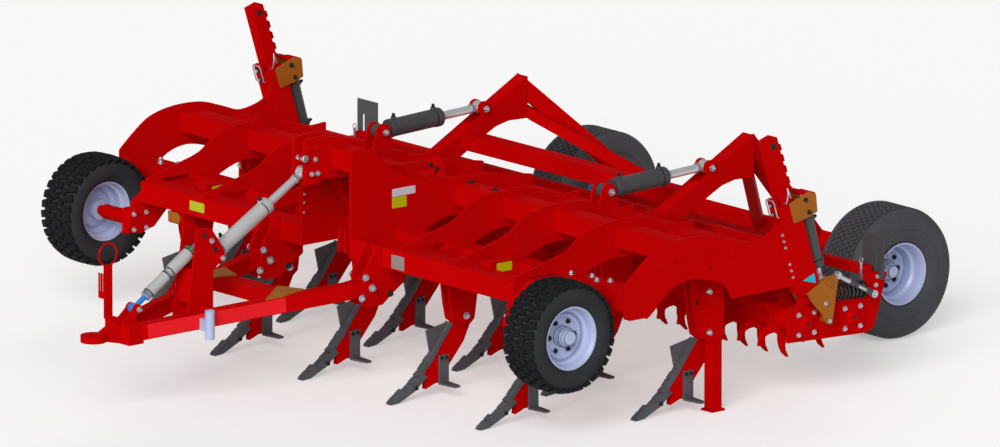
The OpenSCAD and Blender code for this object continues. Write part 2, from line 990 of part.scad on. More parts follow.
module rear_tyre_r() {
    color("dimgray")
        wheel_at(-rear_wheel_x, rear_axle)
            tyre(rear_r, rear_w);
}

module rear_rim_r() {
    color("lightsteelblue")
        mirror([1, 0, 0])
            wheel_at(rear_wheel_x, rear_axle)
                rim(rear_w, 0);
}

module gauge_tyre_l() {
    color("#2a2a2c")
        wheel_at(gauge_x, gauge_axle)
            union() {
                tyre(gauge_r - 14, gauge_w);
                blocks(gauge_r, gauge_w);
            }
}

module gauge_rim_l() {
    color("lightsteelblue")
        wheel_at(gauge_x, gauge_axle)
            rim(gauge_w, 20);
}

module gauge_tyre_r() {
    color("#2a2a2c")
        wheel_at(-gauge_x, gauge_axle)
            union() {
                tyre(gauge_r - 14, gauge_w);
                blocks(gauge_r, gauge_w);
            }
}

module gauge_rim_r() {
    color("lightsteelblue")
        mirror([1, 0, 0])
            wheel_at(gauge_x, gauge_axle)
                rim(gauge_w, 20);
}

module roller_sides() {
    g = row_gap;
    color("firebrick")
        for (s = [-1, 1])
            plate(s * post_x, side_t)
                difference() {
                    union() {
                        translate(roller_pin)
                            circle(r = 48);
                        polygon([[g + 1002, 425], [g + 1675, 396], [g + 1737, 429], [g + 1847, 772],
                            [g + 1660, 800], [g + 1634, 635], [g + 1401, 641], [g + 1274, 655],
                            [g + 1214, 690], [g + 1114, 700], [g + 1064, 660], [g + 1002, 655]]);
                    }
                    translate(roller_pin)
                        circle(r = pin_r + play);
                    for (p = [roller_1, roller_2])
                        translate(p)
                            circle(r = 30 + play);
                }
}

module roller_tubes() {
    inner = post_x - side_t / 2;
    low = roller_2 + (claw_r + 12) * [sin(27.5), cos(27.5)];
    color("firebrick")
        translate([-inner, low[0], low[1]])
            cube([2 * inner, 60, 60]);
}

// Bell-crank plates either side of each sleeve, with the depth rods' pin stubs
module crank_plates() {
    p = depth_rod_pin;
    off = sleeve_w / 2 + gap + 6;
    in = eye_w / 2 + gap;
    reach = off - 6 - side_t / 2;
    color("darkgoldenrod")
        for (s = [-1, 1], k = [-1, 1])
            union() {
                plate(s * post_x + k * off, 12)
                    polygon([p + [-186, -44], p + [-7, 46], p + [83, 52], p + [59, -91], p + [26, -276],
                        p + [-15, -269], p + [-64, -190], p + [-137, -115]]);
                cross_rod(s * post_x + k * (off - 6 + in) / 2, p, 30, off - 6 - in);
                for (q = [[5, -250], [-30, -130]])
                    cross_rod(s * post_x + k * (off - 6 + side_t / 2) / 2, p + q, 16, reach);
                cross_rod(s * post_x + k * (off + 12), p, 22, 12);
            }
}

// Slotted boards pushed down over the roller side plates
module boards() {
    y = row_gap + 1771;
    color("dimgray")
        for (s = [-1, 1])
            difference() {
                translate([s * post_x - s * 41 - 105, y, 740])
                    cube([210, 6, 290]);
                translate([s * post_x - side_t / 2 - play, y - 10, 730])
                    cube([side_t + 2 * play, 26, 200]);
            }
}

module claw_ring() {
    circle(r = roller_r + 30);
    for (i = [0 : claws - 1])
        rotate(i * 360 / claws)
            polygon([[45, roller_r], [44, 150], [32, 195], [8, 236], [-28, claw_r - 4], [-32, claw_r - 12],
                [-10, 215], [-6, 180], [-14, 150], [-45, roller_r]]);
}

module roller(p, shift) {
    inner = post_x - side_t / 2 - 8;
    n = floor((end_x - 120) / claw_pitch);
    color("firebrick")
        translate([0, p[0], p[1]])
            union() {
                rotate([0, 90, 0])
                    translate([0, 0, -inner])
                        cylinder(r = roller_r, h = 2 * inner);
                rotate([0, 90, 0])
                    translate([0, 0, -inner - 28])
                        cylinder(r = 30, h = 2 * inner + 56);
                for (i = [-n : n - (shift > 0 ? 1 : 0)])
                    plate(i * claw_pitch + shift, claw_t)
                        claw_ring();
            }
}

module front_roller() {
    roller(roller_1, 0);
}

module rear_roller() {
    roller(roller_2, claw_pitch / 2);
}

placed() beams();
placed() tower_plates();
placed() tower_front();
placed() arch_plates();
placed() end_plates();
placed() drawbar_lugs();
placed() front_brackets();
placed() rear_brackets();
placed() shanks();
placed() points();
placed() shins();
placed() wings();
placed() lift_lugs();
placed() lift_pivots();
placed() gauge_arms();
placed() post_sleeves();
placed() posts();
placed() post_heads();
placed() stand_holders();
placed() drawbar_arms();
placed() hitch_head();
placed() drawbar_tubes();
placed() drawbar_gussets();
placed() mast();
placed() top_link();
placed() link_ends();
placed() hose_stand();
placed() jack_socket();
placed() draw_barrel();
placed() draw_rod();
placed() lift_legs();
placed() lift_stays();
placed() lift_tubes();
placed() lift_barrels();
placed() lift_rods();
placed() rear_tyre_l();
placed() rear_rim_l();
placed() rear_tyre_r();
placed() rear_rim_r();
placed() gauge_tyre_l();
placed() gauge_rim_l();
placed() gauge_tyre_r();
placed() gauge_rim_r();
placed() roller_sides();
placed() roller_tubes();
placed() crank_plates();
placed() boards();
placed() front_roller();
placed() rear_roller();
placed() depth_barrels();
placed() depth_rods();
placed() stand_l();
placed() stand_r();
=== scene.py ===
import json
import math

import bmesh
import bpy
from mathutils import Matrix, Vector


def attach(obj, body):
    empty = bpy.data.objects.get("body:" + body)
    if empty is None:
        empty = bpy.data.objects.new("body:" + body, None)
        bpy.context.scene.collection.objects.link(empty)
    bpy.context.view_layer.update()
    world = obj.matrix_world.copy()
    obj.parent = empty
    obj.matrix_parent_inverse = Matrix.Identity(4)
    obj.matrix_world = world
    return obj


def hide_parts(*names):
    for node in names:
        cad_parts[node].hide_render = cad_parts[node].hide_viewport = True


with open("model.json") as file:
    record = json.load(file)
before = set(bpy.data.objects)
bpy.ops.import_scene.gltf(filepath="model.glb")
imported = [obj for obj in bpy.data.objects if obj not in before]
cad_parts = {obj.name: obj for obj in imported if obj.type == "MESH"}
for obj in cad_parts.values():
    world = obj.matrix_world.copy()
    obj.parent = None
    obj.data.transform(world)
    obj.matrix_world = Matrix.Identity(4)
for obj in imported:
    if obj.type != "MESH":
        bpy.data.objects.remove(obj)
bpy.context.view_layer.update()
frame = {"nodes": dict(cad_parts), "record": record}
print("stage: frame loaded")


def hexLinear(text):
    parts = [int(text[i:i + 2], 16) / 255 for i in (1, 3, 5)]
    return tuple(c / 12.92 if c <= 0.04045 else ((c + 0.055) / 1.055) ** 2.4 for c in parts) + (1.0,)


def addNode(tree, kind, settings=None, links=None):
    node = tree.nodes.new(kind)
    for key, value in (settings or {}).items():
        if hasattr(node, key):
            setattr(node, key, value)
        else:
            node.inputs[key].default_value = value
    for key, source in (links or {}).items():
        tree.links.new(source, node.inputs[key])
    return node


# the frame's slot, colour, roughness, metal and gloss, then the patterns' waves and depths in millimetres
surfaces = {
    # two coats of sprayed enamel gone half dull: deep even red, thin at sheared corners
    "sprayedRedEnamel": dict(
        slot="red_paint", colour="#C80305", rough=0.5, gloss=0.003,
        mottleMm=420, mottle=0.05, grainMm=2.2, depthMm=0.05, wear=0.4, wearColour="#6A1512"),
    # one lighter coat of enamel on the drawbar's facing plates: a clear bright red
    "sprayedBrightRed": dict(
        slot="red_paint", colour="#EC2229", rough=0.5, gloss=0.003,
        mottleMm=300, mottle=0.04, grainMm=2.2, depthMm=0.05, wear=0.3, wearColour="#8A1A18"),
    # hardened steel wear parts dipped in dull primer: flat grey, scuffed pale along the edges
    "dippedWearSteel": dict(
        slot="wear_steel", colour="#54565A", rough=0.55, gloss=0.3,
        mottleMm=120, mottle=0.14, grainMm=3.0, depthMm=0.12, wear=0.8, wearColour="#95979B"),
    # moulded side wall: dark grey and dull, with a faint bloom
    "mouldedSideWall": dict(
        slot="gauge_rubber", colour="#333437", rough=0.8, gloss=0.1,
        mottleMm=120, mottle=0.1, grainMm=1.5, depthMm=0.1, wear=0.2, wearColour="#4A4A4C"),
    # moulded implement tread: nearly black and dull
    "mouldedBlackRubber": dict(
        slot="gauge_rubber", colour="#1E1E20", rough=0.8, gloss=0.1,
        mottleMm=90, mottle=0.16, grainMm=1.5, depthMm=0.12, wear=0.3, wearColour="#38383A"),
    # flotation tyre rubber: greyer and smoother than the gauge wheels'
    "mouldedGreyRubber": dict(
        slot="rear_rubber", colour="#4A4A4F", rough=0.7, gloss=0.25,
        mottleMm=140, mottle=0.1, grainMm=1.5, depthMm=0.1, wear=0.25, wearColour="#626268"),
    # wheel silver sprayed over pressed steel: pale and cool, with a faint metallic sheen
    "sprayedWheelSilver": dict(
        slot="zinc_steel", colour="#B9C4E4", rough=0.4, metal=0.1, gloss=0.3,
        mottleMm=160, mottle=0.05, grainMm=1.2, depthMm=0.02, wear=0.2, wearColour="#70768A"),
    # cylinder tube in charcoal powder coat: even, half dull
    "powderCoatedCharcoal": dict(
        slot="dark_cylinder", colour="#48494B", rough=0.46, gloss=0.35,
        mottleMm=110, mottle=0.08, grainMm=0.9, depthMm=0.05, wear=0.25, wearColour="#6A6A6A"),
    # cylinder tube in pale grey paint: plain, with a soft sheen
    "sprayedPaleGrey": dict(
        slot="grey_cylinder", colour="#B9BABB", rough=0.4, gloss=0.4,
        mottleMm=140, mottle=0.05, grainMm=1.4, depthMm=0.03, wear=0.25, wearColour="#77797B"),
    # ground and chromed rod under a film of oil: bright and cool, a softened mirror
    "chromedRod": dict(
        slot="chromed_rod", colour="#DCDEE2", rough=0.3, metal=0.55, gloss=0.5,
        mottleMm=60, mottle=0.04, grainMm=0.4, depthMm=0.004, wear=0.0, wearColour="#8A8A8A"),
    # plate painted amber brown: flat and warm
    "sprayedAmberPlate": dict(
        slot="amber_plate", colour="#A86008", rough=0.48, gloss=0.25,
        mottleMm=90, mottle=0.1, grainMm=1.6, depthMm=0.05, wear=0.4, wearColour="#5E4A34"),
    # zinc plated fasteners: pale, cool and a little cloudy
    "zincPlatedSteel": dict(
        slot="zinc_steel", colour="#BFC3CE", rough=0.34, metal=0.85, gloss=0.5,
        mottleMm=14, mottle=0.14, grainMm=0.6, depthMm=0.01, wear=0.0, wearColour="#8A8A8A"),
    # blackened bolts, and black standing for painted shade in holes and at the rims' steps: dull, almost no
    # highlight
    "blackSteelAndPaintedShade": dict(
        slot="dark_cylinder", colour="#18191B", rough=0.6, gloss=0.3,
        mottleMm=20, mottle=0.15, grainMm=0.8, depthMm=0.02, wear=0.3, wearColour="#55575A"),
    # bright blue enamel on the link's ends
    "sprayedBlueEnamel": dict(
        slot="blue_paint", colour="#2F86E0", rough=0.4, gloss=0.35,
        mottleMm=60, mottle=0.06, grainMm=1.4, depthMm=0.03, wear=0.3, wearColour="#2E4A72"),
    # dark green enamel on the link's lock ring
    "sprayedGreenEnamel": dict(
        slot="blue_paint", colour="#1F7C3E", rough=0.4, gloss=0.35,
        mottleMm=40, mottle=0.06, grainMm=1.4, depthMm=0.03, wear=0.3, wearColour="#24402C"),
    # blank stick-on plates in printed film: smooth and even
    "printedYellowFilm": dict(
        slot="amber_plate", colour="#C0C308", rough=0.42, gloss=0.35,
        mottleMm=60, mottle=0.05, grainMm=0.8, depthMm=0.01, wear=0.0, wearColour="#808000"),
    "printedWhiteFilm": dict(
        slot="grey_cylinder", colour="#D4D4DE", rough=0.4, gloss=0.35,
        mottleMm=60, mottle=0.04, grainMm=0.8, depthMm=0.01, wear=0.0, wearColour="#909090"),
    # blank type plate in anodised aluminium: an even, soft grey metal
    "anodisedPlate": dict(
        slot="grey_cylinder", colour="#B4B4B8", rough=0.38, metal=0.5, gloss=0.5,
        mottleMm=40, mottle=0.05, grainMm=0.5, depthMm=0.01, wear=0.0, wearColour="#808080"),
    # turned bronze bushes: warm yellow metal
    "turnedBronze": dict(
        slot="amber_plate", colour="#B9962A", rough=0.35, metal=0.85, gloss=0.5,
        mottleMm=20, mottle=0.1, grainMm=0.5, depthMm=0.01, wear=0.0, wearColour="#705010"),
    # cyan enamel on the depth pointer
    "sprayedCyanEnamel": dict(
        slot="blue_paint", colour="#22B8D8", rough=0.42, gloss=0.3,
        mottleMm=40, mottle=0.05, grainMm=1.2, depthMm=0.03, wear=0.1, wearColour="#14606E"),
    # black stoved springs: satin, with a line of light on each coil
    "stovedSpringWire": dict(
        slot="dark_cylinder", colour="#202123", rough=0.38, gloss=0.5,
        mottleMm=30, mottle=0.1, grainMm=0.8, depthMm=0.02, wear=0.2, wearColour="#5A5B5E"),
}
noiseSpan = {"From Min": 0.3, "From Max": 0.7}  # where most of a noise texture's values lie
# worn edges: rounding and chips in mm, the turn of the normal that bares them, the chips' threshold
edgeWear = dict(roundMm=4, chipMm=45, turn=(0.985, 0.8), chips=(0.45, 0.65), roughSwing=0.12)


def makeSurface(name, spec):
    material = bpy.data.materials.new(name)
    material.use_nodes = True
    tree = material.node_tree
    shader = tree.nodes["Principled BSDF"]
    shader.inputs["Metallic"].default_value = spec.get("metal", 0.0)
    shader.inputs["Specular IOR Level"].default_value = spec["gloss"]
    place = addNode(tree, "ShaderNodeTexCoord").outputs["Object"]
    mottle = addNode(tree, "ShaderNodeTexNoise", {"Scale": 1000 / spec["mottleMm"], "Detail": 5.0},
                     {"Vector": place})
    shade = addNode(tree, "ShaderNodeMapRange",
                    {**noiseSpan, "To Min": 1 - spec["mottle"], "To Max": 1 + spec["mottle"]},
                    {"Value": mottle.outputs["Fac"]})
    base = addNode(tree, "ShaderNodeMix", {"data_type": "RGBA", "blend_type": "MULTIPLY", "Factor": 1.0})
    base.inputs[6].default_value = hexLinear(spec["colour"])
    tree.links.new(shade.outputs["Result"], base.inputs[7])
    # rounded corners for the light, and where they differ from the face the paint is thin
    bevel = addNode(tree, "ShaderNodeBevel", {"samples": 4, "Radius": edgeWear["roundMm"] / 1000})
    flat = addNode(tree, "ShaderNodeNewGeometry")
    turn = addNode(tree, "ShaderNodeVectorMath", {"operation": "DOT_PRODUCT"},
                   {0: bevel.outputs["Normal"], 1: flat.outputs["Normal"]})
    chips = addNode(tree, "ShaderNodeTexNoise",
                    {"Scale": 1000 / edgeWear["chipMm"], "Detail": 6.0, "Roughness": 0.7}, {"Vector": place})
    turnFrom, turnTo = edgeWear["turn"]
    edge = addNode(tree, "ShaderNodeMapRange",
                   {"From Min": turnFrom, "From Max": turnTo, "To Min": 0.0, "To Max": 1.0},
                   {"Value": turn.outputs["Value"]})
    chipFrom, chipTo = edgeWear["chips"]
    chipped = addNode(tree, "ShaderNodeMapRange",
                      {"From Min": chipFrom, "From Max": chipTo, "To Min": 0.0, "To Max": spec["wear"]},
                      {"Value": chips.outputs["Fac"]})
    worn = addNode(tree, "ShaderNodeMath", {"operation": "MULTIPLY", "use_clamp": True},
                   {0: edge.outputs["Result"], 1: chipped.outputs["Result"]})
    tint = addNode(tree, "ShaderNodeMix", {"data_type": "RGBA"}, {"Factor": worn.outputs["Value"]})
    tree.links.new(base.outputs[2], tint.inputs[6])
    tint.inputs[7].default_value = hexLinear(spec["wearColour"])
    tree.links.new(tint.outputs[2], shader.inputs["Base Color"])
    swing = edgeWear["roughSwing"]
    rough = addNode(tree, "ShaderNodeMapRange",
                    {**noiseSpan, "To Min": spec["rough"] * (1 - swing),
                     "To Max": min(1.0, spec["rough"] * (1 + swing))}, {"Value": chips.outputs["Fac"]})
    tree.links.new(rough.outputs["Result"], shader.inputs["Roughness"])
    grain = addNode(tree, "ShaderNodeTexNoise", {"Scale": 1000 / spec["grainMm"], "Detail": 2.0},
                    {"Vector": place})
    bump = addNode(tree, "ShaderNodeBump", {"Strength": 1.0, "Distance": spec["depthMm"] / 1000},
                   {"Height": grain.outputs["Fac"], "Normal": bevel.outputs["Normal"]})
    tree.links.new(bump.outputs["Normal"], shader.inputs["Normal"])
    return material


finish = {name: makeSurface(name, spec) for name, spec in surfaces.items()}
print("stage: surfaces made")

# what the frame's own pieces wear
slotFinish = {
    "red_paint": "sprayedRedEnamel", "wear_steel": "dippedWearSteel", "amber_plate": "sprayedAmberPlate",
    "grey_cylinder": "sprayedPaleGrey", "dark_cylinder": "powderCoatedCharcoal", "chromed_rod": "chromedRod",
    "blue_paint": "sprayedBlueEnamel", "zinc_steel": "sprayedWheelSilver", "rear_rubber": "mouldedGreyRubber",
    "gauge_rubber": "mouldedBlackRubber",
}
for part in frame["record"]["subparts"]:
    piece = frame["nodes"][part["node"]]
    piece.data.materials.clear()
    piece.data.materials.append(finish[slotFinish[part["material_slot"]]])
print("stage: frame dressed")

# millimetres across, along from the front row's tips, and up, as the frame was drawn
frontTips = 1193.75
left, back, up = Vector((1, 0, 0)), Vector((0, 1, 0)), Vector((0, 0, 1))


def spot(across, along, high):
    return Vector((across, along - frontTips, high)) / 1000


def joint(name):
    return Vector(next(j for j in frame["record"]["behaviour"]["joints"] if j["name"] == name)["pos_m"])


def circle(steps, first=0.0):
    return [2 * math.pi * (i + first) / steps for i in range(steps)]


def radial(angle):
    # the way outward from an axle that lies across
    return back * math.cos(angle) + up * math.sin(angle)


def ringRound(mesh, centre, side, other, radius, steps):
    return [mesh.verts.new(centre + (side * math.cos(a) + other * math.sin(a)) * radius / 1000)
            for a in circle(steps)]


def joinRings(mesh, rings, closed=False):
    # walls between neighbouring rings, and a cap at each end unless the last joins the first
    steps = len(rings[0])
    for a, b in list(zip(rings, rings[1:])) + ([(rings[-1], rings[0])] if closed else []):
        for i in range(steps):
            j = (i + 1) % steps
            mesh.faces.new((a[i], a[j], b[j], b[i]))
    if not closed:
        mesh.faces.new(rings[0][::-1])
        mesh.faces.new(rings[-1])


def turned(mesh, profile, origin, axis, steps=32, ring=False):
    # a lathe: profile as (along the axis, radius) in mm, closed by caps, or on itself for a ring
    axis = Vector(axis).normalized()
    side = axis.orthogonal().normalized()
    other = axis.cross(side)
    joinRings(mesh, [ringRound(mesh, origin + axis * reach / 1000, side, other, radius, steps)
                     for reach, radius in profile], ring)


def boxed(mesh, origin, size, across=left, high=up, bevel=0.0):
    # a block in mm about origin, its edges eased by bevel
    across, high = Vector(across).normalized(), Vector(high).normalized()
    deep = high.cross(across)
    turn = Matrix((across, deep, high)).transposed().to_4x4()
    made = bmesh.ops.create_cube(mesh, size=1.0, matrix=Matrix.Translation(origin) @ turn
                                 @ Matrix.Diagonal(Vector(size) / 1000).to_4x4())
    if bevel:
        edges = {e for v in made["verts"] for e in v.link_edges}
        bmesh.ops.bevel(mesh, geom=list(edges), offset=bevel / 1000, segments=1, affect="EDGES")


def plated(mesh, outline, origin, across, high, thick):
    # an outline in mm drawn on across and high, thickened along their normal
    across, high = Vector(across).normalized(), Vector(high).normalized()
    normal = across.cross(high)
    joinRings(mesh, [[mesh.verts.new(origin + (across * a + high * b + normal * t) / 1000)
                      for a, b in outline] for t in (0, thick)])


def swept(mesh, points, radius, steps=10, closed=False):
    # a round wire in mm along points in metres
    rings = []
    count = len(points)
    lastSide = None
    for i, point in enumerate(points):
        ahead = points[(i + 1) % count] if closed or i < count - 1 else point
        behind = points[i - 1] if closed or i > 0 else point
        way = (ahead - behind).normalized()
        side = way.orthogonal() if lastSide is None else lastSide - way * lastSide.dot(way)
        side.normalize()
        lastSide = side
        rings.append(ringRound(mesh, point, side, way.cross(side), radius, steps))
    joinRings(mesh, rings, closed)


def bolted(mesh, origin, axis, size):
    # washer, hexagon head and thread end, for a thread of size mm
    washer, head, thread = size * 1.1, size * 0.86, size * 0.5
    seat, headTop, threadTop = size * 0.2, size * 0.9, size * 1.25
    turned(mesh, [(-1, washer), (size * 0.16, washer), (seat, size * 1.05)], origin, axis, 16)
    turned(mesh, [(seat, head), (size * 0.78, head), (headTop, size * 0.72)], origin, axis, 6)
    turned(mesh, [(size * 0.85, thread), (size * 1.15, thread), (threadTop, size * 0.42)], origin, axis, 10)


def addPiece(name, body, look, mesh, smooth=35, stands=()):
    bmesh.ops.recalc_face_normals(mesh, faces=mesh.faces)
    data = bpy.data.meshes.new(name)
    mesh.to_mesh(data)
    mesh.free()
    data.polygons.foreach_set("use_smooth", [True] * len(data.polygons))
    data.set_sharp_from_angle(angle=math.radians(smooth))
    data.materials.append(finish[look])
    piece = bpy.data.objects.new(name, data)
    bpy.context.scene.collection.objects.link(piece)
    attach(piece, body)
    if stands:
        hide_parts(*stands)
    return piece


# gauge wheels: a chunky block tread on a plain side wall, its rows as place, width and drop
gaugeTyre = dict(radius=370, width=290, bead=197, carcass=17,
                 rows=((-112, 62, -10), (-57, 46, -2), (0, 46, 0), (57, 46, -2), (112, 62, -10)),
                 around=32, long=50, tall=24, ease=4, skew=0.25, shoulder=90, lean=0.3)


def gaugeTread(mesh, blocks, centre, out):
    g = gaugeTyre
    r, w, bead = g["radius"] - g["carcass"], g["width"] / 2, g["bead"]
    half = [(w * 0.2, r), (w * 0.62, r - 4), (w * 0.86, r - 18), (w * 0.97, r - 44), (w, r - 80),
            (w * 0.99, r - 108), (w * 0.93, bead + 34), (w * 0.84, bead + 12), (w * 0.74, bead + 1)]
    turned(mesh, [(-a, b) for a, b in reversed(half)] + half, centre, out, 72, ring=True)
    for row, (across, wide, drop) in enumerate(g["rows"]):
        lean = math.copysign(g["lean"], across) if abs(across) > g["shoulder"] else 0.0
        skew = g["skew"] if row % 2 else -g["skew"]
        for angle in circle(g["around"], 0.5 * (row % 2)):
            outward = radial(angle)
            tilt = (outward + out * lean).normalized()
            slant = out + out.cross(outward) * skew
            side = (slant - tilt * slant.dot(tilt)).normalized()
            middle = centre + (out * across + outward * (g["radius"] + drop - g["tall"] / 2)) / 1000
            boxed(blocks, middle, (wide, g["long"], g["tall"]), side, tilt, g["ease"])


# rear wheels: staggered blocks between plain shoulders, drawn coarser than the fine ones they stand for
rearTyre = dict(radius=437.5, width=400, bead=197, carcass=11, rows=8, pitch=33, around=64, long=31, wide=24,
                tall=14, sunk=0.4)


def rearTread(mesh, blocks, centre, out):
    g = rearTyre
    r, w, bead = g["radius"] - g["carcass"], g["width"] / 2, g["bead"]
    half = [(w * 0.3, r), (w * 0.66, r - 1), (w * 0.7, r + 7), (w * 0.8, r - 2), (w * 0.9, r - 22),
            (w * 0.97, r - 56), (w, r - 96), (w * 0.995, r - 120), (w * 0.965, r - 122), (w * 0.93, bead + 50),
            (w * 0.84, bead + 16), (w * 0.74, bead + 1)]
    turned(mesh, [(-a, b) for a, b in reversed(half)] + half, centre, out, 96, ring=True)
    for row in range(g["rows"]):
        across = (row - (g["rows"] - 1) / 2) * g["pitch"]
        for angle in circle(g["around"], 0.5 * (row % 2)):
            outward = radial(angle)
            middle = centre + (out * across + outward * (g["radius"] - g["sunk"] - g["tall"] / 2)) / 1000
            boxed(blocks, middle, (g["wide"], g["long"], g["tall"]), out, outward)


# rims: pressed steel with a dished disc, studs, and a hub drawn with dark rings of painted shade at its steps
# as (reach, radius)
rims = {
    "gauge": dict(tyre=gaugeTyre, disc=20, studs=6, studRing=104, studSize=16, bore=33, boreEnd=46,
                  hub=((-70, 68), (50, 68), (54, 62), (66, 62), (70, 50), (92, 48), (98, 40)),
                  joints=((8, 69), (40, 68), (52, 67), (68, 58), (92, 48))),
    "rear": dict(tyre=rearTyre, disc=0, studs=8, studRing=104, studSize=16, bore=33, boreEnd=46,
                 hub=((-70, 70), (26, 70), (30, 62), (52, 60), (56, 44), (84, 42), (90, 34)),
                 joints=((8, 71), (26, 70), (54, 56), (84, 42))),
}


def pressedRim(mesh, dark, centre, out, spec):
    wide, b, d = spec["tyre"]["width"], spec["tyre"]["bead"], spec["disc"]
    h, lip = wide * 0.36, wide * 0.42
    # well and flanges, drawn round the section
    turned(mesh, [(-h - 4, b + 16), (-h + 6, b + 14), (-h + 8, b), (-h * 0.55, b - 6), (-h * 0.45, b - 24),
                  (h * 0.45, b - 24), (h * 0.55, b - 6), (h - 8, b), (h - 6, b + 14), (h + 4, b + 16),
                  (h + 6, b + 8), (h - 2, b - 10), (h * 0.6, b - 16), (h * 0.48, b - 34), (-h * 0.48, b - 34),
                  (-h * 0.6, b - 16), (-h + 2, b - 10), (-h - 6, b + 8)], centre, out, 64, ring=True)
    # bright lip against the bead, with a dark ring of painted shade round it and at each step of the hub
    turned(mesh, [(h - 2, b - 10), (lip + 3, b + 1), (lip + 5, b + 11), (lip, b + 13), (h, b + 2)],
           centre, out, 64, ring=True)
    turned(dark, [(lip - 2, b + 12), (lip + 4, b + 12), (lip + 4, b + 17), (lip - 2, b + 17)],
           centre, out, 64, ring=True)
    for reach, r in spec["joints"]:
        turned(dark, [(d + reach - 2, r - 2), (d + reach - 1.6, r + 0.8), (d + reach + 1.6, r + 0.8),
                      (d + reach + 2, r - 2)], centre, out, 48, ring=True)
    # disc with a raised band, open where the axle passes
    turned(mesh, [(d - 8, 34), (d + 6, 34), (d + 6, 116), (d + 24, 130), (d + 24, 142), (d + 4, b - 32),
                  (d - 12, b - 32), (d + 10, 142), (d + 10, 132), (d - 8, 118)], centre, out, 64, ring=True)
    outer = [(d + reach, r) for reach, r in spec["hub"]]
    inner = [(outer[-1][0], 0.5), (d + spec["boreEnd"], 0.5), (d + spec["boreEnd"], spec["bore"]),
             (outer[0][0], spec["bore"])]
    turned(mesh, outer + inner, centre, out, 48, ring=True)
    # studs in black, standing for the painted shade of the stud holes
    for angle in circle(spec["studs"]):
        stud = centre + (out * (d + 6) + radial(angle) * spec["studRing"]) / 1000
        bolted(dark, stud, out, spec["studSize"])


wheels = {"gauge": dict(tread=gaugeTread, wall="mouldedSideWall", rubber="mouldedBlackRubber"),
          "rear": dict(tread=rearTread, wall="mouldedGreyRubber", rubber="mouldedGreyRubber")}
wheelSmooth = 30
for word, letter, out in (("left", "l", left), ("right", "r", -left)):
    for kind, spec in wheels.items():
        centre = joint(f"{kind}_wheel_{word}_spin")
        body = f"{kind}_wheel_{word}"
        rubber, blocks, steel, dark = bmesh.new(), bmesh.new(), bmesh.new(), bmesh.new()
        spec["tread"](rubber, blocks, centre, out)
        pressedRim(steel, dark, centre, out, rims[kind])
        addPiece(f"{kind}Tyre_{word}", body, spec["wall"], rubber, wheelSmooth, [f"{kind}_tyre_{letter}"])
        addPiece(f"{kind}Tread_{word}", body, spec["rubber"], blocks, wheelSmooth)
        addPiece(f"{kind}RimStudsAndShadeRings_{word}", body, "blackSteelAndPaintedShade", dark)
        addPiece(f"{kind}Rim_{word}", body, "sprayedWheelSilver", steel, wheelSmooth,
                 [f"{kind}_rim_{letter}"])
print("stage: wheels dressed")

# places shared by several pieces: the posts and the roller sides across, and pins as (along, up)
postX, sideX = 2606.6, 2616.6
pins = dict(arm=(115, 704), drawBase=(-728, 942), drawRod=(32, 1382), linkFront=(-1382, 689),
            linkRear=(-805, 1064), liftBase=(1617, 1225), liftRod=(2481, 1260), liftPivot=(2050, 950),
            depthBase=(2062, 1325), depthRod=(2210, 796), gauge=(210, 695),
            rollers=((2075, 536), (2470, 520)))
fourCorners = ((-1, -1), (-1, 1), (1, -1), (1, 1))
bothFaces = ((1, "out"), (-1, "in"))

